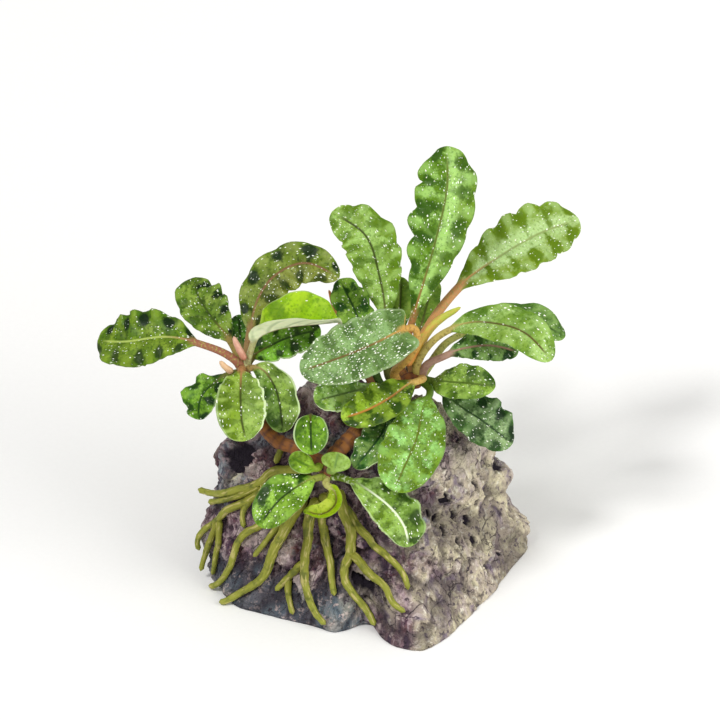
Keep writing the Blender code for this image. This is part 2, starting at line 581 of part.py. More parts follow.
def clear_start(points, radii, others):
    """Cuts back the start until it is the gap away from every stem already made."""
    stations = [points[0]]
    sizes = [radii[0]]
    for a, b, radius_a, radius_b in zip(points, points[1:], radii, radii[1:]):
        for cut in range(1, CUTS + 1):
            stations.append(a.lerp(b, cut / CUTS))
            sizes.append(radius_a + (radius_b - radius_a) * cut / CUTS)
    first = 0
    last_try = len(stations) - 2 * CUTS
    while first < last_try and room_to_stems(stations[first], others) < sizes[first] + GAP:
        first += 1
    rest = first // CUTS + 1
    return [stations[first]] + points[rest:], [sizes[first]] + radii[rest:]


# Leaves

def blade_width(share, leaf):
    """The half-width at a share of the blade: an ellipse each side of the widest place."""
    if share < leaf.widest:
        return max(0.0, 1 - (1 - share / leaf.widest) ** 2) ** leaf.taper
    return max(0.0, 1 - ((share - leaf.widest) / (1 - leaf.widest)) ** 2) ** leaf.blunt


def leaf_shares(rings, stalk, bends):
    """Places along the leaf: up its stalk, with rings for its bends, then closer at the blade's ends."""
    shares = [stalk * i / (bends + 1) for i in range(bends + 2)]
    blade_rings = rings - bends - 2
    for i in range(1, blade_rings + 1):
        even = i / blade_rings
        shares.append(stalk + (1 - stalk) * (even - RING_CROWDING * math.sin(2 * math.pi * even)))
    return shares


def leaf_mesh(leaf, sides=8):
    path = smooth_path([place(*p) for p in leaf.midrib])
    shares = leaf_shares(leaf.rings, leaf.stalk, leaf.bends)
    stations = walk(path, shares)
    facings = leaf.facing if isinstance(leaf.facing[0], tuple) else (leaf.facing, leaf.facing)
    first, second = (place(*facing).normalized() for facing in facings)
    rows = []
    for share, (centre, direction) in zip(shares, stations):
        toward = first.lerp(second, share)
        face = (toward - direction * toward.dot(direction)).normalized()
        side = face.cross(direction)
        blade = max(0.0, (share - leaf.stalk) / (1 - leaf.stalk))
        spread = blade_width(blade, leaf)
        stalk_radius = leaf.thick_stalk * (1 - STALK_THINNING * blade)
        width = math.hypot(stalk_radius, leaf.wide * spread)
        flat = min(1.0, blade * STALK_FADE)
        thick = max(THINNEST, STALK_FLATNESS * stalk_radius * (1 - flat) + BLADE_THICKNESS * flat)
        rows.append((centre, side, face, width, thick, blade, spread))

    def point_at(ring, angle):
        centre, side, face, width, thick, blade, spread = rows[ring]
        across = math.cos(angle)
        out = abs(across)
        fold = math.radians(leaf.fold) * min(1.0, spread * 1.5)
        phase = 2 * math.pi * leaf.waves * blade + (0 if across > 0 else WAVE_OFFSET)
        wave = leaf.wave_depth * math.sin(phase) * out ** 3
        lift = (wave + leaf.cup * leaf.wide * out * out) * spread
        return (
            centre
            + side * across * width * math.cos(fold)
            + face * (out * width * math.sin(fold) * (spread > 0) + lift + thick * math.sin(angle))
        )

    return tube_mesh(sides, leaf.rings, point_at)


def build():
    for thing in list(bpy.data.objects):
        bpy.data.objects.remove(thing, do_unlink=True)
    materials = {name: make_material(name) for name in MATERIALS}

    stone = build_stone()
    surface = BVHTree.FromBMesh(stone)
    finish_object("stone", stone, materials["lava_rock"], smooth=False)

    rhizome = stem_points(RHIZOME_PATH, RHIZOME_RADII, RHIZOME_RINGS, surface)
    finish_object("rhizome", round_tube(*rhizome, sides=STEM_SIDES), materials["rhizome_brown"])
    left_stem = stem_points(LEFT_STEM_PATH, LEFT_STEM_RADII, LEFT_STEM_RINGS, surface)
    left_stem = clear_start(*left_stem, others=[rhizome])
    finish_object("left_stem", round_tube(*left_stem, sides=STEM_SIDES), materials["rhizome_brown"])
    made = [rhizome, left_stem]
    for root in ROOTS:
        laid = laid_on_stone(root.path, root.start_radius, root.end_radius, ROOT_SPACING, surface)
        laid = clear_start(*laid, others=made)
        made.append(laid)
        finish_object(root.name, round_tube(*laid, sides=ROOT_SIDES), materials["root_olive"])

    for sheath in SHEATHS:
        path = smooth_path([place(*p) for p in sheath.path])
        stations = walk(path, [share for share, _ in SHEATH_OUTLINE])
        radii = [sheath.radius * size for _, size in SHEATH_OUTLINE]
        body = round_tube([point for point, _ in stations], radii, sides=SHEATH_SIDES)
        finish_object(sheath.name, body, materials["sheath_orange"])
    for leaf in LEAVES:
        finish_object(leaf.name, leaf_mesh(leaf), materials[leaf.green])


build()
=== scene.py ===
"""The looks of a bucephalandra grown onto a loose lump of porous lava rock.

Lengths are millimetres, and MM turns them into metres where a mesh is made. The plant is laid
out on a slanted drawing plane that faces a viewer who looks 30 degrees down on it: each of its
points is (right, up, near), and place() turns that into x, y and z.
"""

import math
import random
from collections import namedtuple

import bmesh
import bpy
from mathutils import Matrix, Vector, noise
from mathutils.bvhtree import BVHTree
from mathutils.geometry import interpolate_bezier


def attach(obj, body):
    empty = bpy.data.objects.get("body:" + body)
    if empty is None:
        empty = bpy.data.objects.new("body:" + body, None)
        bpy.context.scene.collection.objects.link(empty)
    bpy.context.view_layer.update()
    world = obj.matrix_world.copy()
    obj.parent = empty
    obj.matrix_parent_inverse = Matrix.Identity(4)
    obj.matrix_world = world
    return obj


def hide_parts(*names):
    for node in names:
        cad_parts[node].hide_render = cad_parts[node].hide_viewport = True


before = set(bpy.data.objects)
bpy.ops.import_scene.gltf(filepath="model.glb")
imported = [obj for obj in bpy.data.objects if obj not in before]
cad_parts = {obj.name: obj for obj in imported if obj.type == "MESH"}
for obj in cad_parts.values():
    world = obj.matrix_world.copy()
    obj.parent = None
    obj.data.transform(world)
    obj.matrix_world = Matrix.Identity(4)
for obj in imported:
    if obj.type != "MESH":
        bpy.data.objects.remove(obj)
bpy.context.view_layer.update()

MM = 0.001
SLANT = math.radians(30)
FAR_OFF = 90        # a distance toward the viewer that is clear of the whole object

# The stone: corners as x, y, z, with z = 0 on the surface it rests on
STONE_CORE = (0, 2, 20)
STONE_CORNERS = (
    (14.5, -38.5, -3), (-11, -23.5, -3), (-34, -15.5, -3), (-40.5, 2, -3), (-36, 22, -3), (-18, 34, -3),
    (10, 38, -3), (31, 31, -3), (43.5, 16, -3), (21.5, -31, -3),
    (-43, 7, 13), (-38.5, 25, 16), (45, 20, 4.5), (20, 39, 17), (-12, 38, 24),
    (-38, 8.5, 38), (-34, 22, 34), (-9.5, -8, 36.5), (16.5, -2, 40.5), (26, 12, 38),
    (36, 21.5, 25.6), (25, 30, 33), (-17, 10, 51), (-8, 20, 52.5), (6, 16, 50), (14, 14, 48),
    (-2, 30, 42),
)
STONE_SUBDIVISIONS = 7
STONE_SMOOTHINGS = 16
STONE_SMOOTHING = 0.5      # how far each one moves a point toward the middle of its neighbours
LUMP_SIZE = 13.0
LUMP_HEIGHT = 1.8
LUMP_STEEPNESS = 1.6
SMOOTH_SIDE_LUMPS = 0.5    # the share of each lump's height that the smoother side has
# Where the smoother side begins in x, how wide its border is, how it slants with y, and how far
# and over what distance it wanders
SMOOTH_START = 6
SMOOTH_WIDTH = 11
SMOOTH_SLANT = 0.35
SMOOTH_WANDER = 6
SMOOTH_SIZE = 12
# The same for the beige stain, whose border wanders further toward the back of the stone
BEIGE_START = 5
BEIGE_WIDTH = 6
BEIGE_SLANT = 0.12
BEIGE_WANDER = 7
BEIGE_SIZE = 9
BACK_START = 18
BACK_WIDTH = 8
PATCH_CORE = 1.3           # the share of a patch's radius that is fully stained is this less 1
PATCH_RAGGEDNESS = 0.12
BREAK_SIZE = 15.0          # flat faces where the rock broke, each tilted its own way
BREAK_TILT = 0.32
SWELL_SIZE = 26.0
SWELL_HEIGHT = 2.2
LEDGE_SPACING = 11.0
LEDGE_DEPTH = 1.1
LEDGE_SLOPE = 0.35
LEDGE_WANDER = 3.0
FOOT_FLATNESS = 0.01   # points this low are set onto the plane that the stone rests on
FOOT_START = -1     # no weathering below this height, and all of it this much higher, so that
UNWORN_FOOT = 3.0   # the flat underside stays whole
CHIP_SIZE = 5.5     # smaller broken faces
CHIP_TILT = 0.3
CRACK_SIZE = 4.0
CRACK_HEIGHT = 0.5
CRACK_STEEPNESS = 4
CRACK_LEVEL = 0.8   # the share of that height which lies below the face
BROAD_CRACK_STEEPNESS = 3
GRIT_SIZE = 1.6
GRIT_HEIGHT = 0.3
PORE_SPACING = 2.4  # gas bubbles of the lava, opened by weathering
PORE_REACH = 0.36
PORE_DEPTH = 0.55
# How dark the painted shade in cracks, pores and pits is, how much of a pit's rim stays light, and
# how strongly the painted light by relief pales crests and darkens dips
CRACK_SHADE = 0.6
PORE_SHADE = 0.7
PIT_SHADE = 2.8
PIT_EDGE = 0.5
CREST_GAIN = 0.3

# Pits that show from the front: right, up, radius and depth
FRONT_PITS = (
    (27.6, 24.9, 1.7, 2.4), (20.8, 22.0, 1.5, 2.0), (29.1, 21.9, 1.5, 2.0), (17.7, 17.6, 1.3, 1.8),
    (20.0, 16.3, 1.6, 2.2), (25.5, 16.8, 1.6, 2.2), (29.6, 15.5, 1.7, 2.4), (22.1, 12.7, 1.8, 2.4),
    (25.0, 10.1, 1.5, 2.0), (29.1, 9.8, 1.6, 2.2), (35.9, 7.0, 1.4, 1.8), (32.0, 2.5, 1.6, 2.2),
    (-2.8, -2.0, 2.4, 3.4), (0.2, -4.4, 2.7, 3.8), (-34.5, 32.5, 5.0, 3.6),
)
# Broad hollows, or knobs where the depth is below zero: right, up, radius and depth
HOLLOWS = (
    (-0.5, -14.4, 9.5, 9.5), (41.0, 20.0, 9.0, 5.5), (18.0, 1.6, 3.6, 1.6), (18.2, -2.6, 3.6, 1.6),
    (17.6, -6.6, 3.6, 1.4), (31.5, 28.5, 4.5, -1.2), (38.5, 14.5, 4.0, -1.0), (-36.5, 24.0, 4.5, -1.4),
    (27.0, 1.5, 4.5, 1.2), (33.0, -4.0, 5.0, -1.2), (-24.0, 1.0, 6.0, 1.8), (9.5, 13.0, 6.0, 1.8),
)
# Patches stained as the other side is: right, up, radius, and 1 where beige or 0 where dark
STAIN_PATCHES = (
    (-1.0, -3.0, 5.8, 1), (-35.0, 27.5, 3.2, 1), (5.5, -9.0, 5.0, 1), (22.5, 36.5, 4.6, 0),
    (20.0, 30.5, 3.6, 0), (16.4, 22.0, 3.2, 0), (15.2, 16.0, 2.8, 0), (15.9, 5.0, 3.2, 0),
    (19.7, 1.1, 2.4, 0),
)
PIT_RAGGEDNESS = 0.3
PIT_NOTCH_SIZE = 1.7
PIT_SURROUNDS = 1.5        # how many radii round a pit its ragged edge and finer mesh reach
PIT_STEEPNESS = 0.4
PIT_REFINEMENT = 2         # cuts of each edge of the mesh near a pit that shows
OTHER_PITS = 16
OTHER_PIT_RADIUS = (1.8, 3.0)
OTHER_PIT_DEPTH = 1.1
OTHER_PIT_ROOM = 2.0
LOWEST_PIT = 5.0
HIDDEN_FACING = 0.25       # the other pits turn toward the viewer by no more than this
OTHER_PIT_SEED = 11

# Stems
RHIZOME_PATH = (
    (14.6, 53.0, 15.4), (10.4, 51.8, 15.4), (6.2, 49.3, 16.6), (2.5, 45.0, 20.0),
    (-1.6, 40.0, 23.8), (-6.0, 35.6, 26.8), (-9.8, 31.0, 28.4), (-10.4, 26.4, 28.2),
)
RHIZOME_RADII = (2.3, 1.9)
LEFT_STEM_PATH = (
    (-10.6, 31.0, 28.6), (-13.4, 32.0, 29.0), (-18.0, 34.6, 28.2), (-23.6, 37.0, 27.0),
    (-28.4, 43.0, 25.6), (-31.2, 50.0, 24.4), (-32.0, 55.2, 23.8),
)
LEFT_STEM_RADII = (1.7, 1.8)
STEM_SIDES = 32
STEM_SPACING = 0.45
STEM_KNOBS = 0.14
STEM_TIP = 2               # points at each end of a stem that carry no leaf
STEM_EVENING = 6           # how often the points of a stem are evened out
KNOB_SIZE = 1.6
LEAST_ROUNDING = 0.04      # the square of the share of its radius that a tube keeps at its very end
GRAIN_STEP = 40            # keeps the grain of one stem or root apart from the next
STEM_ROOM = 1.05           # the stem's middle lies this many radii from the stone
SCAR_SPACING = 2.5         # ring scars where old leaves sat
SCAR_SWELLING = 0.1

Leaf = namedtuple(
    "Leaf",
    "name green midrib wide facing stalk widest taper blunt fold cup waves wave_depth thick_stalk"
    " scallop heart",
    defaults=((0, 0.3, 0.95), 0.2, 0.55, 0.9, 0.5, 8, 0.0, 4, 0.8, 0.95, (0.07, 0.07), 0),
)

LEAVES = (
    # Left rosette
    Leaf("left_leaf_1", "leaf_olive",
         ((-34.4, 57.8, 26.4), (-40.8, 61.0, 26.6), (-51.7, 63.6, 26), (-62.9, 62.4, 23),
          (-70.0, 62.6, 18.6)),
         7.8, (0, 0.35, 0.94), 0.28, waves=5, wave_depth=1.0, scallop=(0.1, 0.05)),
    Leaf("left_leaf_2", "leaf_green",
         ((-33.9, 59.6, 23.0), (-36.2, 63.5, 19.4), (-41.2, 69.8, 14.0), (-44.4, 75.2, 9),
          (-44.8, 79.2, 6)),
         6.3, (0, 0.15, 0.98), 0.16, 0.62, waves=4, scallop=(0.07, 0.09)),
    Leaf("left_leaf_3", "leaf_olive",
         ((-31.3, 59.2, 21.4), (-30.3, 66, 18.6), (-28.2, 74, 15.8), (-23.6, 80, 14.6), (-16, 82.9, 16.2),
          (-7.2, 79.2, 19)),
         6.0, (-0.1, 0.1, 1), 0.16, 0.5, taper=0.7, waves=5, wave_depth=0.7, scallop=(0.06, 0.16)),
    Leaf("left_leaf_4", "leaf_lime",
         ((-30.0, 60.6, 26.0), (-28.6, 63.6, 29.4), (-25.2, 65.3, 32.2), (-19.4, 66.6, 33.6),
          (-12.6, 67.2, 32.8), (-7.2, 67.6, 30.2)),
         8.4, ((0, 1, 0.4), (0, 0.66, 0.74)), 0.1, 0.58, taper=0.85, blunt=0.5, fold=50, waves=2,
         wave_depth=0.3, scallop=(0.02, 0.04)),
    Leaf("left_leaf_5", "leaf_blue_green",
         ((-30.2, 57.8, 23.0), (-27.2, 60.2, 23.8), (-20.6, 63.4, 24.8), (-12.0, 65.6, 24.6)),
         5.5, (0, 0.3, 0.95), 0.04, taper=0.65, waves=4, wave_depth=0.9, scallop=(0.05, 0.18)),
    Leaf("left_leaf_6", "leaf_blue_green",
         ((-32.2, 59.2, 19.4), (-33.0, 64, 15), (-33.4, 69.4, 11)),
         3.2, waves=2, wave_depth=0.4),
    Leaf("left_leaf_7", "leaf_green",
         ((-32.4, 55.4, 27.6), (-32.6, 53.2, 31.4), (-32.7, 47.5, 35.4), (-32.3, 41.5, 37.4),
          (-31.2, 36.8, 37.2)),
         6.7, (0, 0.45, 0.9), 0.1, 0.6, taper=0.7, fold=14, waves=6, scallop=(0.05, 0)),
    Leaf("left_leaf_8", "leaf_green",
         ((-30.0, 55.6, 26.0), (-26.4, 54.4, 28), (-23.2, 48.7, 29.2), (-21.8, 38.9, 28.8)),
         5.1, (0.1, 0.45, 0.9), 0.04, 0.6, taper=0.7, fold=12, waves=3, wave_depth=0.6,
         scallop=(0.06, 0.02)),
    Leaf("left_leaf_9", "leaf_blue_green",
         ((-35.4, 54.0, 24.8), (-38.8, 52.2, 25.8), (-42.9, 48.2, 27.2), (-43.8, 42.2, 26.6)),
         4.6, (-0.2, 0.5, 0.85), 0.1, waves=3, wave_depth=1.0, scallop=(0.18, 0.2)),
    # Right rosette
    Leaf("right_leaf_1", "leaf_green",
         ((5.6, 53.9, 12.4), (5.3, 62, 9.4), (4.8, 70.7, 5.0), (3.2, 80, -0.6), (-0.4, 90.4, -7.4),
          (-9.2, 96.6, -11.4)),
         7.1, (0, 0.28, 0.96), 0.3, 0.6, waves=6, wave_depth=0.9, scallop=(0.09, 0.1)),
    Leaf("right_leaf_2", "leaf_green",
         ((8.9, 55.9, 12.4), (10.2, 62, 12.8), (13.6, 74, 14.4), (17.4, 87, 16), (20.8, 102, 15.6),
          (20.8, 113.4, 12.4)),
         8.0, (0, 0.28, 0.96), 0.2, 0.68, taper=1.3, waves=6, wave_depth=1.0, scallop=(0.17, 0.08)),
    Leaf("right_leaf_3", "leaf_green",
         ((12.2, 56.5, 13.6), (16.4, 66.8, 11), (24.4, 77.0, 7.4), (33.6, 84.0, 4), (45.2, 90.8, -1),
          (55.6, 94.6, -6)),
         8.3, (0, 0.3, 0.95), 0.38, 0.6, taper=1.0, waves=6, wave_depth=0.9, thick_stalk=1.2,
         scallop=(0.08, 0.12)),
    Leaf("right_leaf_4", "leaf_green",
         ((13.0, 56.6, 17.2), (17.6, 63.0, 20), (24.4, 66.6, 23.4), (31, 67.4, 26.4), (40.6, 64.8, 30.6),
          (47.8, 57.6, 32)),
         6.2, (0, 0.55, 0.84), 0.3, waves=3, wave_depth=0.4, scallop=(0.02, 0.02)),
    Leaf("right_leaf_5", "leaf_blue_green",
         ((15.6, 56.4, 17.8), (19.6, 58.4, 18.6), (25.2, 60.6, 19.2), (32, 61.4, 18.6), (39.4, 59.8, 17)),
         4.4, (0, 0.4, 0.92), 0.26, waves=4, wave_depth=0.9, scallop=(0.05, 0.18)),
    Leaf("right_leaf_6", "leaf_green",
         ((17.4, 52.2, 18.6), (20.6, 52.0, 22.4), (26.6, 51.6, 27), (33.2, 50.7, 29.4)),
         5.2, (0.1, 0.35, 0.93), 0.02, 0.52, taper=0.6, waves=3, wave_depth=0.4, scallop=(0.03, 0.02)),
    Leaf("right_leaf_7", "leaf_lime",
         ((16.4, 49.8, 19.0), (14.5, 45, 26.0), (12.7, 37, 31.6), (9.4, 29.5, 35.4), (6.8, 23.8, 37)),
         8.2, (0.05, 0.4, 0.92), 0.1, 0.64, taper=0.85, fold=10, waves=4, wave_depth=0.6,
         scallop=(0.03, 0.04)),
    Leaf("right_leaf_8", "leaf_blue_green",
         ((18.4, 50.2, 15.4), (22.4, 46.8, 17.8), (29.6, 42.1, 18.6), (37.8, 35.8, 16.4)),
         7.0, (0.2, 0.4, 0.9), 0.1, waves=4, wave_depth=0.9, scallop=(0.06, 0.04)),
    Leaf("right_leaf_9", "leaf_green",
         ((16.0, 56.0, 14.4), (21.4, 62.6, 12), (32, 66.8, 9.6), (42.6, 68.0, 8), (51.8, 63.8, 6)),
         5.0, (0, 0.5, 0.86), 0.3, waves=3, wave_depth=0.5),
    Leaf("front_leaf_1", "leaf_blue_green",
         ((7.2, 54.4, 19.4), (10.4, 57.8, 25.0), (12.8, 62.4, 29.2), (12.2, 65.8, 31.2), (8.8, 65.2, 32.4),
          (2.6, 62.2, 34.4), (-5.0, 59.0, 36.6), (-17.2, 54.6, 36.8)),
         8.1, (-0.1, 0.25, 0.96), 0.41, 0.45, taper=0.24, waves=5, wave_depth=0.6,
         scallop=(0.04, 0.04), heart=4.5),
    Leaf("front_leaf_2", "leaf_blue_green",
         ((2.4, 50.8, 18.6), (-1.4, 50.0, 22.2), (-7, 48.7, 25.6), (-13.6, 46.9, 28.2)),
         5.7, (-0.1, 0.4, 0.9), 0.12, waves=4, wave_depth=0.8, scallop=(0.09, 0.04)),
    Leaf("front_leaf_3", "leaf_lime",
         ((14.4, 52.6, 19.6), (10.8, 51.2, 24), (5.8, 47.8, 28.6), (0, 44.7, 31.6), (-6.6, 42.4, 32.6)),
         5.6, (-0.1, 0.35, 0.93), 0.14, waves=4, wave_depth=0.7),
    Leaf("front_leaf_4", "leaf_blue_green",
         ((8.2, 46.2, 19.6), (6.0, 42.6, 23.4), (3.2, 37.6, 28), (-0.2, 33.2, 30.2), (-3.4, 29.8, 30.6)),
         4.6, (-0.1, 0.4, 0.92), 0.14, waves=4, wave_depth=0.8),
    Leaf("back_leaf_1", "leaf_blue_green",
         ((7.2, 54.9, 9.6), (8.4, 66, 2.6), (9.0, 79.4, -4.4)),
         3.0, stalk=0.4, waves=2, wave_depth=0.5),
    Leaf("back_leaf_2", "leaf_blue_green",
         ((11.2, 55.6, 9.8), (14.6, 68, 1.8), (17.6, 79, -6)),
         3.2, stalk=0.4, waves=2, wave_depth=0.5),
    Leaf("back_leaf_3", "leaf_blue_green",
         ((3.2, 51.8, 13.0), (1.0, 60, 10), (-3.2, 70.6, 6.4), (-7.2, 78.8, 3)),
         4.9, stalk=0.4, waves=3, wave_depth=0.9, scallop=(0.16, 0.16)),
    # Low rosette
    Leaf("low_leaf_1", "leaf_green",
         ((-12.8, 27.2, 31.4), (-17, 25.5, 34.4), (-22.5, 21.6, 37), (-28.0, 14.8, 37.4)),
         5.9, (-0.1, 0.4, 0.9), 0.06, waves=2, wave_depth=0.4, scallop=(0.02, 0.02)),
    Leaf("low_leaf_2", "leaf_lime",
         ((-10.6, 25.6, 31.2), (-8.2, 23.6, 34), (-8.2, 20.2, 36), (-11.8, 17.7, 36.6), (-16.4, 18.6, 36)),
         3.2, ((-0.6, -0.2, 0.7), (0.1, 0.7, 0.7)), 0.1, fold=40, waves=1, wave_depth=0.2, scallop=(0, 0)),
    Leaf("low_leaf_3", "leaf_green",
         ((-6.6, 27.2, 30.2), (-1.8, 25.2, 33.2), (5.3, 20.2, 34.6), (9.4, 15, 35.8), (10.9, 9.4, 36)),
         6.3, (0.1, 0.4, 0.9), 0.12, 0.6, waves=5, wave_depth=0.7, scallop=(0.1, 0.04)),
    Leaf("low_leaf_4", "leaf_green",
         ((-8.8, 29.0, 32.4), (-8.1, 31.0, 34.2), (-7.5, 33.8, 34.6)),
         3.9, (0, 0.1, 1), 0.1, waves=1, wave_depth=0.2, scallop=(0, 0)),
    Leaf("low_leaf_5", "leaf_lime",
         ((-12.9, 29.6, 31.4), (-16, 30.6, 33.0), (-20.0, 32.8, 33.2)),
         2.9, (0, 0.3, 0.95), 0.1, waves=1, wave_depth=0.3, scallop=(0, 0)),
    Leaf("low_leaf_6", "leaf_green",
         ((-13.2, 36.4, 27.6), (-14.2, 40.2, 27.4), (-14.6, 43.0, 29.8), (-14.6, 41.2, 32.8),
          (-14.5, 37.2, 34.6), (-14.3, 33.2, 35.8)),
         4.6, ((0, 0.5, -1), (0, 0.3, 0.95)), 0.42, 0.6, cup=0.35, waves=1, wave_depth=0.2,
         scallop=(0, 0)),
)
LEAF_SIDES = 64
RING_SPACING = 0.45
RING_CROWDING = 0.15
ACROSS_CROWDING = 1.3      # above 1, the points of a ring crowd toward the midrib
BLADE_THICKNESS = 0.24
STALK_FLATNESS = 0.85
STALK_FADE = 3.0
STALK_THINNING = 0.7
WAVE_OFFSET = 2.2
FRILL = 0.3                # small ripples on each wave of the margin
FRILLS_TO_A_WAVE = 2.7
WAVE_WANDER = 0.9          # how far the waves come early or late
WANDER_RATE = 1.3
LOBE_SHARPNESS = 0.8
LOBE_HEIGHT = 1.6
LOBE_WANDER = 0.6
WAVE_CURL = 3              # waves grow with this power of the distance from the midrib
SCALLOP_RISE = 1.3         # how steeply scallops and fold grow away from the blade's ends
FOLD_RISE = 1.5
FACE_EDGE = 4              # how sharply the upper side's colour ends at the margin
LEAST_STALK_RINGS = 4
LEAST_BLADE_RINGS = 24
LEAF_GRAIN_STEP = 23.7     # keeps the pattern of one leaf apart from the next
PATH_STEPS = 12            # points on each stretch of a smooth path
STALK_FOOT = 0.45          # how much wider a stalk is where it clasps the stem
HEART_REACH = 0.3          # the share of a blade over which heart-shaped lobes reach back, and
HEART_CURVE = 1.5          # the powers by which they grow toward the margin
HEART_FADE = 1.2           # and fade along the blade
VEIN_SLANT = 0.8
VEIN_GAP = 0.62            # between side veins, as a share of the blade's half-width
QUILT_HEIGHT = 0.3
QUILT_REACH = 1.1          # quilting ends at 1 / 1.1 of the way from the midrib to the margin
GROOVE = (0.32, 0.42)      # depth and half-width of the midrib's channel
KEEL = (0.38, 0.6)         # and of the rib on the underside
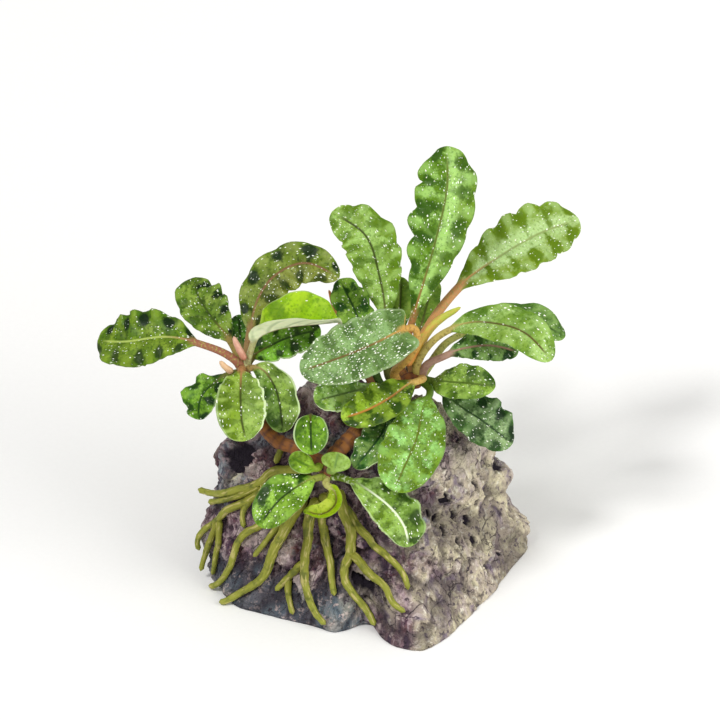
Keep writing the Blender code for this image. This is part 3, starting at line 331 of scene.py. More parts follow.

# How each leaf is coloured. Left and right are the halves seen when looking from foot to tip.
# After the colours come three pairs of strengths, left and right: painted shade in the hollows of the
# ripples, a pale margin painted as a highlight, and a pale band beside the midrib. Then comes how far
# pale clouds of painted sheen show.
# dots is the spacing of the white dots in millimetres, and veins how far the side veins show.
# spotty is 1 where the patches of painted shade are separate spots, and 0 where they run together in
# clouds.
Look = namedtuple(
    "Look",
    "left right dark pale midrib stalk under blotch rim band cloudy dots veins spotty",
    defaults=((0.4, 0.4), (0, 0), (0.1, 0.1), 0.4, 1.4, 0.2, 0.0),
)
LOOKS = {
    "left_leaf_1": Look("557214", "466808", "0C2404", "92AD34", "A9BC5C", "94604A", "93A562",
                        (0.8, 1.0), cloudy=0.5, spotty=1.0),
    "left_leaf_2": Look("50720E", "4E7010", "0C2204", "A2BC50", "3A4E12", "8C7A40", "86984F",
                        (0.4, 1.0), cloudy=0.5),
    "left_leaf_3": Look("607818", "747E26", "142A04", "A4B062", "7E5A3E", "94784C", "868F58",
                        (1.0, 0.8), cloudy=0.3, spotty=0.6),
    "left_leaf_4": Look("92BC0A", "84C208", "4C7204", "BEDC36", "8A6440", "B8B882", "EEF4CC",
                        (0.3, 0.2), cloudy=0.4, dots=2.6),
    "left_leaf_5": Look("4A7410", "6EAC20", "10260A", "92C648", "2C4418", "766A34", "7A9648",
                        (0.9, 0.9), (0, 0.5), cloudy=0.4),
    "left_leaf_6": Look("4E8A1E", "346C10", "123A0C", "86B84C", "2A4718", "6C7038", "6F8F46",
                        (0.6, 0.6)),
    "left_leaf_7": Look("7E9D40", "759418", "3C5604", "AEC868", "3A440E", "A8784C", "AFC386",
                        (0.15, 0.5), (1.0, 0.35), cloudy=0.5, dots=1.5),
    "left_leaf_8": Look("8AAA40", "567C12", "203F06", "B6D27C", "26340C", "9A8450", "A0BA74",
                        (0.5, 0.7), (0.9, 0.1), cloudy=0.4, dots=1.6),
    "left_leaf_9": Look("507A12", "427010", "143403", "A0D048", "1C4010", "666A30", "76994A",
                        (1.0, 0.9), (0.3, 0.0), cloudy=0.6),
    "right_leaf_1": Look("80A034", "749420", "446808", "B2D878", "38420F", "5A5E28", "98B56C",
                         (0.6, 0.5), band=(0.3, 0.35), cloudy=0.8, dots=1.4, veins=0.3),
    "right_leaf_2": Look("557A10", "6C8C22", "264A06", "A6D070", "5E6A24", "A06C40", "92B064",
                         (0.8, 0.6), band=(0.0, 0.9), cloudy=0.6, dots=1.3),
    "right_leaf_3": Look("6E8A14", "738C1A", "587408", "B0CC88", "8A9A5A", "C08C58", "ABC27E",
                         (0.9, 1.0), band=(0.85, 0.85), cloudy=0.5, dots=1.4, veins=0.3),
    "right_leaf_4": Look("749630", "7E9E38", "3E640E", "ACCC7A", "54481C", "B4A45C", "9BB66A",
                         (0.3, 0.2), band=(0.1, 0.5), cloudy=0.7),
    "right_leaf_5": Look("527C30", "5C7C3A", "16360A", "98B86C", "94705F", "AC8A78", "7E9670",
                         (0.8, 1.0), cloudy=0.4),
    "right_leaf_6": Look("64842A", "6E9028", "1A3C06", "B0D264", "4E641E", "5E7A30", "96B062",
                         (0.7, 0.4), cloudy=0.6),
    "right_leaf_7": Look("70921E", "6F9022", "2C480A", "98CC70", "5E6A18", "64882A", "A0BE74",
                         (0.4, 0.4), band=(0.2, 0.3), cloudy=1.0, dots=1.3),
    "right_leaf_8": Look("40662A", "44682E", "0F2A08", "94AE78", "1C3814", "3B5426", "738F62",
                         (1.0, 0.7), band=(0.2, 0.6), cloudy=0.8),
    "right_leaf_9": Look("4E7028", "567A30", "204210", "90B060", "34521E", "A0A058", "84A46E"),
    "front_leaf_1": Look("607C3E", "5F7C3C", "2E4C1A", "8CAE6E", "6A5228", "C0964C", "8DA97E",
                         (0.4, 0.4), (0.2, 0.2), (0.1, 0.1), 0.7, 1.0, 0.4),
    "front_leaf_2": Look("8AAA40", "70942E", "2C5A0E", "B8DC8C", "50682C", "7A8E4C", "93B07C",
                         (0.7, 0.6), (1.0, 0.2), cloudy=0.5, dots=1.3),
    "front_leaf_3": Look("5E7816", "7A9A1A", "223E08", "AACA48", "B97A38", "D8B468", "A0B850",
                         (0.9, 0.7), band=(0.3, 0.1), cloudy=0.7, dots=1.8),
    "front_leaf_4": Look("4A7A2C", "42682A", "1A4810", "9CBC64", "1F4622", "66904E", "7F9C70",
                         (0.9, 0.7), (0.8, 0.2), cloudy=0.6),
    "back_leaf_1": Look("607C22", "5C7A22", "2E4C0C", "8AA044", "465020", "685F34", "788C50", dots=2.4),
    "back_leaf_2": Look("607C22", "5C7A22", "2E4C0C", "8AA044", "465020", "685F34", "788C50", dots=2.4),
    "back_leaf_3": Look("567E20", "6C9A28", "1C4206", "A0C450", "1C3C12", "4A6A26", "66863F",
                        (1.0, 1.0), cloudy=0.7),
    "low_leaf_1": Look("6E941E", "4A720C", "143202", "98C24C", "20380C", "8A9440", "9CBB70",
                       (0.3, 0.9), band=(0.4, 0.0), cloudy=0.9, dots=1.4),
    "low_leaf_2": Look("8AA806", "AABA3C", "5E8202", "AEC826", "6E5E2C", "B8B46C", "C8D080",
                       (0, 0), cloudy=0.4, dots=3.4, veins=0.0),
    "low_leaf_3": Look("5E8020", "76981E", "28400E", "A0C268", "E6EED0", "5C761A", "9FC072",
                       (0.9, 0.5), (0.3, 0.5), (0.1, 0.5), 0.8, 1.8),
    "low_leaf_4": Look("7E9C38", "86A648", "566E1C", "ACCC74", "709048", "8EA854", "9CBB78",
                       (0, 0), cloudy=0.7, dots=3.0),
    "low_leaf_5": Look("628614", "6A8A16", "34500A", "96BC3E", "4C701A", "80982E", "9DBF60",
                       (0, 0), (0.2, 0.2), cloudy=0.7, dots=2.2),
    "low_leaf_6": Look("527E12", "507612", "10340A", "92C03A", "16340C", "56501E", "86AE50",
                       (0.1, 0.1), (0.4, 0.7), cloudy=0.6, dots=1.9),
}

# Sheaths and buds: narrow, round and pointed, with their widest radius and two colours
Sheath = namedtuple("Sheath", "name path radius foot tip")
SHEATHS = (
    Sheath("left_sheath", ((-31.6, 57.6, 27.4), (-33.4, 61, 28.4), (-34.6, 63.8, 28.4)), 0.95,
           "B5735C", "D9AE96"),
    Sheath("left_bract", ((-35.0, 54.6, 28.2), (-36.4, 55.6, 30.2), (-38.2, 57.4, 30.6)), 0.9,
           "C08A64", "E2C49A"),
    Sheath("right_sheath", ((10.4, 56.0, 17.6), (13.0, 61, 18.2), (18, 67.4, 17), (24.4, 71.4, 17.6)), 1.2,
           "D08A46", "B5C94A"),
    Sheath("right_bud", ((2.2, 49.8, 16.0), (-2.4, 58.5, 10.5), (-7.0, 68, 4.6), (-10.0, 76.0, 1.6)), 1.1,
           "6E4A26", "D98A4A"),
)
SHEATH_OUTLINE = ((0, 0.75), (0.15, 1), (0.4, 1), (0.7, 0.85), (0.9, 0.65), (1, 0.25))
SHEATH_SIDES = 24
SHEATH_KNOBS = 0.12        # unevenness, as a share of the radius

# Roots: (right, up) points that are laid on the stone, and the radius at each end
Root = namedtuple("Root", "name path start_radius end_radius")
ROOTS = (
    Root("root_1", ((-14.6, 27.6), (-20, 29), (-24.7, 28.6), (-28, 25.6), (-33.5, 24.0), (-39.8, 22.7),
                    (-44.2, 23.9)), 1.15, 0.5),
    Root("root_1_fork", ((-27.6, 25.4), (-31, 23.2), (-36, 21.6), (-41.5, 20.4)), 0.8, 0.45),
    Root("root_2", ((-26, 24.6), (-31, 21), (-36.2, 18.6), (-39.2, 15.4), (-42.9, 13.0), (-44.7, 10.1),
                    (-43.9, 7.8)), 0.9, 0.4),
    Root("root_2_fork", ((-38.8, 15.0), (-40.2, 11.4), (-42.2, 7.2), (-43.6, 2.4)), 0.7, 0.4),
    Root("root_2_twig", ((-38.2, 15.2), (-38.6, 10), (-39.4, 5.2), (-40.4, 1.4)), 0.6, 0.35),
    Root("root_3", ((-30.6, 20.8), (-32.6, 17.6), (-32.0, 13.9)), 0.6, 0.35),
    Root("root_4", ((-15.2, 24.8), (-22, 19.2), (-27.3, 14.7), (-32, 12.4), (-34.3, 8.3), (-35.6, 3.6),
                    (-38.4, -0.4), (-41.4, -2.4)), 1.0, 0.45),
    Root("root_5", ((-21, 17.2), (-24.2, 12.9), (-27, 9.6), (-29.6, 6.4)), 0.65, 0.35),
    Root("root_6", ((-15.8, 22.0), (-19.0, 17.6), (-21.4, 13.3), (-24.2, 8), (-26, 2.8), (-28.3, -0.3),
                    (-34.1, -3.6), (-38.6, -7.2)), 1.4, 0.5),
    Root("root_7", ((-12.4, 21.8), (-14.2, 19), (-15.2, 16), (-15.3, 10.6), (-16.2, 5.4), (-16.1, 0.5),
                    (-14.8, -5.3), (-13, -8.6), (-10.7, -11)), 1.3, 0.5),
    Root("root_7_fork", ((-16.4, 5.2), (-19.8, 1.8), (-23.9, -2.4)), 0.85, 0.4),
    Root("root_7_twig", ((-20.2, 1.2), (-20.4, -4.2), (-19.2, -8.6)), 0.7, 0.35),
    Root("root_8", ((-9.8, 22.2), (-11, 18.4), (-11.2, 15.3), (-10.6, 9.3), (-9.4, 4.9), (-9.2, 1),
                    (-8.4, -3.6)), 1.1, 0.5),
    Root("root_9", ((-7.2, 22.8), (-6.2, 18.9), (-4.4, 14.8), (-3.6, 10.6), (-4.2, 7), (-6.0, 3.6),
                    (-5.4, -0.4), (-2.6, -4.2), (0.5, -8), (2.3, -11.2)), 1.3, 0.5),
    Root("root_9_fork", ((-3.6, 7.2), (-1.6, 5.2), (1, 1.8), (4.7, -0.8), (6.5, -5.3), (9.9, -7.6)),
         0.95, 0.4),
    Root("root_10", ((-5.4, 19.6), (-2.2, 14), (2.3, 9.4), (6.5, 5.7), (9.4, 2.3), (10.7, -1.4)),
         0.95, 0.4),
    Root("root_11", ((-19.6, 37.0), (-22.1, 34.6), (-23.4, 32.0), (-23.8, 30.6)), 0.75, 0.5),
)
ROOT_SPACING = 0.7
ROOT_SIDES = 20
ROOT_LIFT = 0.1
ROOT_EVENING = 4           # how often the points of a root are evened out
JOIN_EVENING = 3           # and once more with the piece that joins it to its stem
ROOT_BRIDGE = 4            # rings on each side over which a root bridges a hollow
OVERHANG_DROP = 0.12
JOIN_REACH = 4.5           # a fork this close to another root or stem starts inside it
ROOT_KNOBS = 0.2
ROOT_SKIN = 0.3            # the spongy skin that thickens every root

SHADER = "Principled BSDF"  # the shader node that each new material starts with

# Camera and light
PIXEL = 0.26               # the width of one pixel at the plant, in millimetres
PICTURE = 720
AIM = (-1.82, 57.66, 20)   # right, up and near of the picture's middle
CAMERA_DISTANCE = 2500
SENSOR = 36
CLIP_END = 20              # in metres
LIT_SPOT = (0, 0, 0.05)    # in metres, as is the distance of the lights from it
LIGHT_DISTANCE = 1.2
SKY_STRENGTH = 0.56
KEY_STRENGTH = 1.6
KEY_SPREAD = math.radians(14)
FILL_WATTS = 9.0
FILL_SIZE = 0.9
FLOOR_SIZE = 6000
FLOOR_GAP = 0.2            # the floor lies this far below the stone's foot


def place(right, up, near):
    """A point of the slanted drawing plane, as x, y and z in millimetres."""
    return Vector((
        right,
        up * math.sin(SLANT) - near * math.cos(SLANT),
        up * math.cos(SLANT) + near * math.sin(SLANT),
    ))


TOWARD_VIEWER = place(0, 0, 1)


def seen_at(surface, right, up):
    """The point of the surface that shows there from the front, or None."""
    return surface.ray_cast(place(right, up, FAR_OFF), -TOWARD_VIEWER)[0]


def add_object(name, data):
    """Puts a mesh, light or camera into the scene."""
    added = bpy.data.objects.new(name, data)
    bpy.context.scene.collection.objects.link(added)
    return added


def add_mesh(name, bm, material):
    """Puts a mesh in metres into the scene."""
    mesh = bpy.data.meshes.new(name)
    bm.to_mesh(mesh)
    bm.free()
    mesh.materials.append(material)
    return add_object(name, mesh)


def finish_piece(name, bm, material):
    """Turns a mesh in millimetres into a piece in metres that stands for its CAD node."""
    bmesh.ops.scale(bm, vec=(MM, MM, MM), verts=bm.verts[:])
    piece = add_mesh("finished_" + name, bm, material)
    piece.data.shade_smooth()
    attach(piece, "root")
    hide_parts(name)


def smooth_path(points):
    """Closely spaced points on a smooth curve through the given ones."""
    last = len(points) - 1
    tangents = [
        (points[min(i + 1, last)] - points[max(i - 1, 0)]).normalized()
        for i in range(last + 1)
    ]
    path = []
    for i in range(last):
        reach = (points[i + 1] - points[i]).length / 3
        stretch = interpolate_bezier(
            points[i], points[i] + tangents[i] * reach,
            points[i + 1] - tangents[i + 1] * reach, points[i + 1], PATH_STEPS + 1,
        )
        path.extend(stretch[:-1])
    path.append(points[last])
    return path


def length_of(path):
    return sum((b - a).length for a, b in zip(path, path[1:]))


def walk(path, shares):
    """The point and direction at each share of the path's length."""
    lengths = [0.0]
    for a, b in zip(path, path[1:]):
        lengths.append(lengths[-1] + (b - a).length)
    found = []
    i = 0
    for share in shares:
        goal = share * lengths[-1]
        while i < len(path) - 2 and lengths[i + 1] < goal:
            i += 1
        part = (goal - lengths[i]) / (lengths[i + 1] - lengths[i])
        direction = path[i + 1] - path[i]
        found.append((path[i].lerp(path[i + 1], part), direction.normalized()))
    return found


def clamp(share):
    return min(1.0, max(0.0, share))


def even_shares(path, spacing):
    """Shares from 0 to 1 of the path's length, about that many millimetres apart."""
    count = round(length_of(path) / spacing)
    return [i / count for i in range(count + 1)]


def tube_mesh(sides, rings, surface_at):
    """A closed tube. surface_at(ring, angle) gives each point and what the materials read there:
    grain is (across, along, seed) in millimetres, and form is three shares from 0 to 1."""
    bm = bmesh.new()
    bmesh.ops.create_cone(bm, cap_ends=True, segments=sides, radius1=1, radius2=1, depth=1)
    lengthwise = [e for e in bm.edges if abs(e.verts[0].co.z - e.verts[1].co.z) > 0.5]
    bmesh.ops.subdivide_edges(bm, edges=lengthwise, cuts=rings - 2, use_grid_fill=True)
    grain_layer = bm.verts.layers.float_vector.new("grain")
    form_layer = bm.verts.layers.float_vector.new("form")
    ripple_layer = bm.verts.layers.float.new("ripple")
    for vert in bm.verts:
        ring = round((vert.co.z + 0.5) * (rings - 1))
        point, grain, form, ripple = surface_at(ring, math.atan2(vert.co.y, vert.co.x))
        vert.co = point
        vert[grain_layer] = grain
        vert[form_layer] = form
        vert[ripple_layer] = ripple
    return bm


# Materials

def linear(hex_colour):
    """An sRGB hex colour as the linear colour that a shader works in."""
    parts = [int(hex_colour[i:i + 2], 16) / 255 for i in (0, 2, 4)]
    return (*[c / 12.92 if c <= 0.04045 else ((c + 0.055) / 1.055) ** 2.4 for c in parts], 1)


def fill_inputs(tree, node, inputs):
    """Sets each input to its value, or links it where the value is another node's output."""
    for socket, value in inputs.items():
        if isinstance(value, bpy.types.NodeSocket):
            tree.links.new(value, node.inputs[socket])
        else:
            node.inputs[socket].default_value = value


def add(tree, kind, inputs=None, output=0, **settings):
    """Adds a node with its settings and inputs. Gives back one of its outputs, or all."""
    node = tree.nodes.new("ShaderNode" + kind)
    for name, value in settings.items():
        setattr(node, name, value)
    fill_inputs(tree, node, inputs or {})
    return node.outputs if output is None else node.outputs[output]


def new_material(name):
    material = bpy.data.materials.new(name)
    material.use_nodes = True
    return material, material.node_tree


def ramp(value, start, end, low=0.0, high=1.0):
    """What turns a value into a mask that goes from low at start to high at end."""
    return {0: value, 1: start, 2: end, 3: low, 4: high}


def masked(tree, *masks):
    """The masks multiplied together. Each is a number, a node's output, or a ramp, made smooth."""
    found = [
        add(tree, "MapRange", mask, interpolation_type="SMOOTHSTEP") if isinstance(mask, dict) else mask
        for mask in masks
    ]
    product = found[0]
    for mask in found[1:]:
        product = add(tree, "Math", {0: product, 1: mask}, operation="MULTIPLY")
    return product


def layered(tree, colour, layers):
    """Lays each colour over the ones before it, as far as its mask says. A colour is a hex value or
    a node's output."""
    colour = linear(colour) if isinstance(colour, str) else colour
    for mask, over in layers:
        over = linear(over) if isinstance(over, str) else over
        colour = add(
            tree, "Mix", {0: masked(tree, mask), 6: colour, 7: over}, output=2, data_type="RGBA"
        )
    return colour


def leaf_skin(leaf):
    """Living bucephalandra leaf: a waxy skin over soft tissue, so a satin gloss with a little light
    passing through. Its margin ripples have painted shade in the hollows and a painted highlight on
    the crests, pale clouds of painted sheen lie on the blade, and some margins carry a painted
    highlight. White cells dot its face."""
    look = LOOKS[leaf.name]
    material, tree = new_material(leaf.name + "_living_leaf")
    grain = add(tree, "Attribute", output="Vector", attribute_name="grain")
    form = add(tree, "Attribute", output="Vector", attribute_name="form")
    ripple = add(tree, "Attribute", output="Fac", attribute_name="ripple")
    across, along, _ = add(tree, "SeparateXYZ", {0: grain}, output=None)
    out, blade, upper = add(tree, "SeparateXYZ", {0: form}, output=None)

    def side_strength(strengths):
        """One strength on the left half and the other on the right."""
        return ramp(across, -0.6, 0.6, strengths[1], strengths[0])

    # Clouds of tone about 8 mm and 4 mm across, and the fine grain of the leaf's cells
    tone = add(tree, "TexNoise", {"Vector": grain, "Scale": 0.13, "Detail": 3.0, "Roughness": 0.6})
    cloud = add(tree, "TexNoise", {"Vector": grain, "Scale": 0.24, "Detail": 4.0, "Roughness": 0.65})
    cells = add(tree, "TexNoise", {"Vector": grain, "Scale": 1.5, "Detail": 2.0})
    # Side veins slant from the midrib toward the tip
    off_midrib = add(tree, "Math", {0: across}, operation="ABSOLUTE")
    gap = VEIN_GAP * leaf.wide
    slanted = add(tree, "Math", {0: off_midrib, 1: -VEIN_SLANT, 2: along}, operation="MULTIPLY_ADD")
    from_vein = add(tree, "Math", {0: slanted, 1: gap / 2}, operation="PINGPONG")
    vein = masked(tree, ramp(from_vein, 0.12, 0.5 + 0.12 * gap, 1.0, 0.0))
    inner = masked(tree, ramp(out, 0.7, 0.95, 1.0, 0.0))
    in_blade = masked(tree, ramp(blade, 0.0, 0.12))

    # Painted shade: a round dark patch in the hollow of each ripple, ragged with the clouds
    off_patch = add(tree, "MapRange", ramp(out, 0.68, 0.96))
    short_of_patch = add(tree, "MapRange", ramp(out, 0.68, 0.34))
    beside = add(tree, "Math", {0: off_patch, 1: short_of_patch}, operation="MAXIMUM")
    beside = add(tree, "Math", {0: beside, 1: 2.0}, operation="POWER")
    from_hollow = add(tree, "Math", {0: ripple, 1: 1.1, 2: 1.1}, operation="MULTIPLY_ADD")
    unevenness = 5.5 - 4.0 * look.spotty
    ragged = add(tree, "Math", {0: cloud, 1: unevenness, 2: -unevenness / 2}, operation="MULTIPLY_ADD")
    patch = add(tree, "Math", {0: add(tree, "Math", {0: beside, 1: from_hollow}), 1: ragged})
    hollows = masked(tree, ramp(patch, 1.7 - 0.45 * look.spotty, 0.45), side_strength(look.blotch))
    shade = masked(tree, ramp(tone, 0.46, 0.66), 0.6)
    band = ramp(out, 0.62, 0.25), ramp(tone, 0.36, 0.5, 0.55, 1.0), in_blade, side_strength(look.band)
    granules = masked(tree, ramp(cells, 0.5, 0.68), 0.5)
    halves = layered(tree, look.right, [(side_strength((1.0, 0.0)), look.left)])
    skin = layered(tree, halves, [
        (shade, look.dark),
        # pale clouds of painted sheen
        (masked(tree, ramp(cloud, 0.48, 0.64), inner, in_blade, look.cloudy), look.pale),
        (masked(tree, *band), look.pale),
        (masked(tree, vein, inner, in_blade, look.veins), look.pale),
        (granules, look.dark),
        # painted highlight on the crests of the ripples
        (masked(tree, ramp(ripple, 0.1, 0.8), ramp(out, 0.4, 0.8, 0.0, 0.4)), look.pale),
        # painted shade in the hollows of the ripples
        (hollows, look.dark),
        (ramp(out, 0.95, 0.985, 0.0, 0.5), look.dark),
        # a pale margin painted as a highlight
        (masked(tree, ramp(out, 0.88, 0.95), side_strength(look.rim)), "CFE2AE"),
    ])
    # The midrib takes the stalk's colour at its foot and fades out at the tip
    rib_colour = layered(tree, look.midrib, [(ramp(blade, 0.02, 0.4, 1.0, 0.0), look.stalk)])
    rib = masked(tree, ramp(off_midrib, 0.14, 0.42, 1.0, 0.0), ramp(blade, 0.86, 0.97, 0.9, 0.0))
    stalk = add(tree, "Math", {
        0: add(tree, "MapRange", ramp(blade, 0.0, 0.01, 1.0, 0.0)),
        1: masked(tree, ramp(blade, 0.0, 0.12, 1.0, 0.0), ramp(off_midrib, 0.5, 1.5, 1.0, 0.0)),
    }, operation="MAXIMUM")
    stalk_tone = layered(tree, look.stalk, [(granules, look.midrib)])
    # White flecks of every size up to half a millimetre, drawn out a little along the leaf
    shaken = add(tree, "VectorMath", {0: cells, 1: (0.5, 0.5, 0.5), 2: grain}, operation="MULTIPLY_ADD")
    drawn_out = add(tree, "VectorMath", {0: shaken, 1: (1.15, 0.6, 1.0)}, operation="MULTIPLY")
    fleck_masks = []
    for spacing in (look.dots * 0.8, look.dots * 0.45):
        distance, chance, *_ = add(
            tree, "TexVoronoi", {"Vector": drawn_out, "Scale": 1 / spacing}, output=None
        )
        radius = add(tree, "Math", {0: chance, 1: 0.31, 2: -0.08}, operation="MULTIPLY_ADD")
        within = add(tree, "Math", {0: distance, 1: -spacing, 2: radius}, operation="MULTIPLY_ADD")
        fleck_masks.append(masked(tree, ramp(within, -0.03, 0.05)))
    flecks = add(tree, "Math", {0: fleck_masks[0], 1: fleck_masks[1]}, operation="MAXIMUM")
    dots = masked(tree, flecks, ramp(tone, 0.36, 0.52, 0.35, 1.0), in_blade)
    face = layered(tree, skin, [(rib, rib_colour), (stalk, stalk_tone), (dots, "F4F8E8")])
    back = layered(tree, look.under, [
        (masked(tree, shade, 0.5), look.dark),
        (masked(tree, vein, inner, 0.35), look.dark),
        (rib, rib_colour),
        (stalk, stalk_tone),
    ])
    relief = add(tree, "Math", {0: vein, 1: -0.5, 2: cells}, operation="MULTIPLY_ADD")
    fill_inputs(tree, tree.nodes[SHADER], {
        "Base Color": layered(tree, back, [(upper, face)]),
        "Roughness": add(tree, "MapRange", ramp(cells, 0.3, 0.7, 0.36, 0.5)),
        "Normal": add(tree, "Bump", {"Height": relief, "Distance": 0.12 * MM, "Strength": 0.7}),
        "IOR": 1.4,
        "Specular IOR Level": 0.22,
        "Subsurface Weight": 0.08,
        "Subsurface Radius": (0.5, 1.0, 0.1),
        "Subsurface Scale": MM,
    })
    return material


def foot_mask(tree, spot_mm, stains):
    """The blue-grey foot of the stone's dark side, below about 11 mm and left of the middle."""
    x, _, z = add(tree, "SeparateXYZ", {0: spot_mm}, output=None)
    ragged = add(tree, "Math", {0: stains, 1: 22.0, 2: z}, operation="MULTIPLY_ADD")
    return masked(tree, ramp(ragged, 25.0, 19.0), ramp(x, 6.0, -6.0), 0.75)


def lava_stone():
    """Porous basalt lava, broken and weathered, never polished: fully matte. One side is stained dark
    purple-brown with blue-grey patches, the other is beige ash with mauve. Painted shade makes open
    pores and pits darkest and darkens cracks and dips, and a painted highlight pales the crests."""
    material, tree = new_material("weathered_lava_stone")
    spot = add(tree, "TexCoord", output="Object")
    spot_mm = add(tree, "VectorMath", {0: spot, 1: (1 / MM,) * 3}, operation="MULTIPLY")
    form = add(tree, "Attribute", output="Vector", attribute_name="form")
    # The first is painted shade in cracks, pores and pits, and the last is painted light by relief: crests
    # pale, dips dark.
    hollow_shade, beige, relief_light = add(tree, "SeparateXYZ", {0: form}, output=None)
    # Stains about 14 mm, 6 mm and 2 mm across, streaks that ran down, and grains under a millimetre
    stains = add(tree, "TexNoise", {"Vector": spot_mm, "Scale": 0.07, "Detail": 4.0, "Distortion": 0.6})
    patches = add(tree, "TexNoise", {"Vector": spot_mm, "Scale": 0.16, "Detail": 5.0, "Distortion": 0.9})
    specks = add(tree, "TexNoise", {"Vector": spot_mm, "Scale": 0.5, "Detail": 4.0, "Roughness": 0.7})
    run_down = add(tree, "VectorMath", {0: spot_mm, 1: (0.45, 0.45, 0.12)}, operation="MULTIPLY")
    streaks = add(tree, "TexNoise", {"Vector": run_down, "Scale": 1.0, "Detail": 4.0, "Distortion": 0.5})
    grains = add(tree, "TexVoronoi", {"Vector": spot_mm, "Scale": 1.1}, output="Distance")
    bent = add(tree, "VectorMath", {0: patches, 1: (9.0, 9.0, 9.0), 2: spot_mm}, operation="MULTIPLY_ADD")
    seams = add(tree, "TexVoronoi", {"Vector": bent, "Scale": 0.14}, feature="DISTANCE_TO_EDGE")
    dark_side = layered(tree, "705658", [
        (ramp(stains, 0.45, 0.62), "5A4050"),
        (ramp(patches, 0.5, 0.66), "9C8088"),
        (ramp(patches, 0.47, 0.32), "6A3A3A"),
        (ramp(stains, 0.46, 0.36), "8A9298"),
        (ramp(streaks, 0.52, 0.6, 0.0, 0.75), "B09A9E"),
        (ramp(streaks, 0.46, 0.38, 0.0, 0.75), "382C42"),
        (foot_mask(tree, spot_mm, stains), "52626A"),
        (ramp(specks, 0.54, 0.64, 0.0, 0.8), "C4B0AC"),
        (ramp(specks, 0.44, 0.35, 0.0, 0.85), "2A2028"),
    ])
    pale_side = layered(tree, "C2B59E", [
        (ramp(stains, 0.5, 0.66), "A2938A"),
        (ramp(patches, 0.5, 0.64), "D8CEAC"),
        (ramp(patches, 0.46, 0.33), "93848F"),
        (ramp(streaks, 0.55, 0.66, 0.0, 0.6), "CFC0BA"),
        (ramp(specks, 0.55, 0.67, 0.0, 0.85), "ECE6D2"),
        (ramp(specks, 0.44, 0.35, 0.0, 0.85), "524854"),
    ])
    colour = layered(tree, dark_side, [
        (beige, pale_side),
        # Painted highlight on crests and painted shade in dips
        (ramp(relief_light, 0.6, 1.0, 0.0, 0.4), "C9BDB0"),
        (ramp(relief_light, 0.35, 0.0, 0.0, 0.5), "3A2E38"),
        (ramp(grains, 0.1, 0.35, 0.3, 0.0), "2B2530"),
        (masked(tree, ramp(seams, 0.006, 0.03, 0.75, 0.0), ramp(stains, 0.5, 0.6)), "2A222C"),
        # Painted shade in cracks, pores and pits
        (hollow_shade, "1D1620"),
    ])
    height = add(tree, "Math", {0: specks, 1: 1.6, 2: grains}, operation="MULTIPLY_ADD")
    cut = masked(tree, ramp(seams, 0.0, 0.04, -0.6, 0.0))
    height = add(tree, "Math", {0: height, 1: cut})
    fill_inputs(tree, tree.nodes[SHADER], {
        "Base Color": colour,
        "Roughness": add(tree, "MapRange", ramp(specks, 0.3, 0.7, 0.82, 0.98)),
        "Normal": add(tree, "Bump", {"Height": height, "Distance": 0.6 * MM, "Strength": 0.9}),
        "IOR": 1.5,
        "Specular IOR Level": 0.25,
    })
    return material


def plant_skin(name, foot, tip, dark, roughness, scars=0.0, pale=None):
    """Skin of a root, stem or sheath: tough and fibrous, so satin to matte, with streaks along it."""
    material, tree = new_material(name)
    grain = add(tree, "Attribute", output="Vector", attribute_name="grain")
    form = add(tree, "Attribute", output="Vector", attribute_name="form")
    share, _, scar = add(tree, "SeparateXYZ", {0: form}, output=None)
    # Fibres about 0.4 mm wide and 3 mm long, and mottling about 3 mm across
    drawn_out = add(tree, "VectorMath", {0: grain, 1: (2.4, 0.3, 1.0)}, operation="MULTIPLY")
    fibres = add(tree, "TexNoise", {"Vector": drawn_out, "Scale": 1.0, "Detail": 3.0})
    mottle = add(tree, "TexNoise", {"Vector": grain, "Scale": 0.35, "Detail": 4.0, "Roughness": 0.6})
    colour = layered(tree, foot, [
        (share, tip),
        (ramp(mottle, 0.5, 0.68, 0.0, 0.75), dark),
        (ramp(fibres, 0.52, 0.7, 0.0, 0.45), dark),
        (ramp(fibres, 0.46, 0.34, 0.0, 0.7), pale or tip),
        (ramp(scar, 0.2, 1.0, 0.0, scars), dark),
    ])
    fill_inputs(tree, tree.nodes[SHADER], {
        "Base Color": colour,
        "Roughness": roughness,
        "Normal": add(tree, "Bump", {"Height": fibres, "Distance": 0.25 * MM, "Strength": 0.7}),
        "Specular IOR Level": 0.3,
    })
    return material


def backdrop_paper():
    """Matte white studio paper, with no gloss and no pattern of its own."""
    material, tree = new_material("backdrop_paper")
    spot = add(tree, "TexCoord", output="Object")
    fibre = add(tree, "TexNoise", {"Vector": spot, "Scale": 900.0, "Detail": 2.0})
    fill_inputs(tree, tree.nodes[SHADER], {
        "Base Color": layered(tree, "FBFAF8", [(fibre, "F7F6F4")]),
        "Roughness": 1.0,
        "Specular IOR Level": 0.0,
    })
    return material


# The stone

def stone_hull():
    bm = bmesh.new()
    for corner in STONE_CORNERS:
        bm.verts.new(corner)
    hull = bmesh.ops.convex_hull(bm, input=bm.verts[:])
    inner = [v for v in hull["geom_interior"] if isinstance(v, bmesh.types.BMVert)]
    bmesh.ops.delete(bm, geom=inner, context="VERTS")
    return bm


def smooth_share(point):
    """How far the point lies on the stone's smoother side, from 0 to 1."""
    wander = SMOOTH_WANDER * noise.fractal(point / SMOOTH_SIZE, 1.0, 2.0, 3)
    return clamp((point.x + SMOOTH_SLANT * point.y + wander - SMOOTH_START) / SMOOTH_WIDTH)


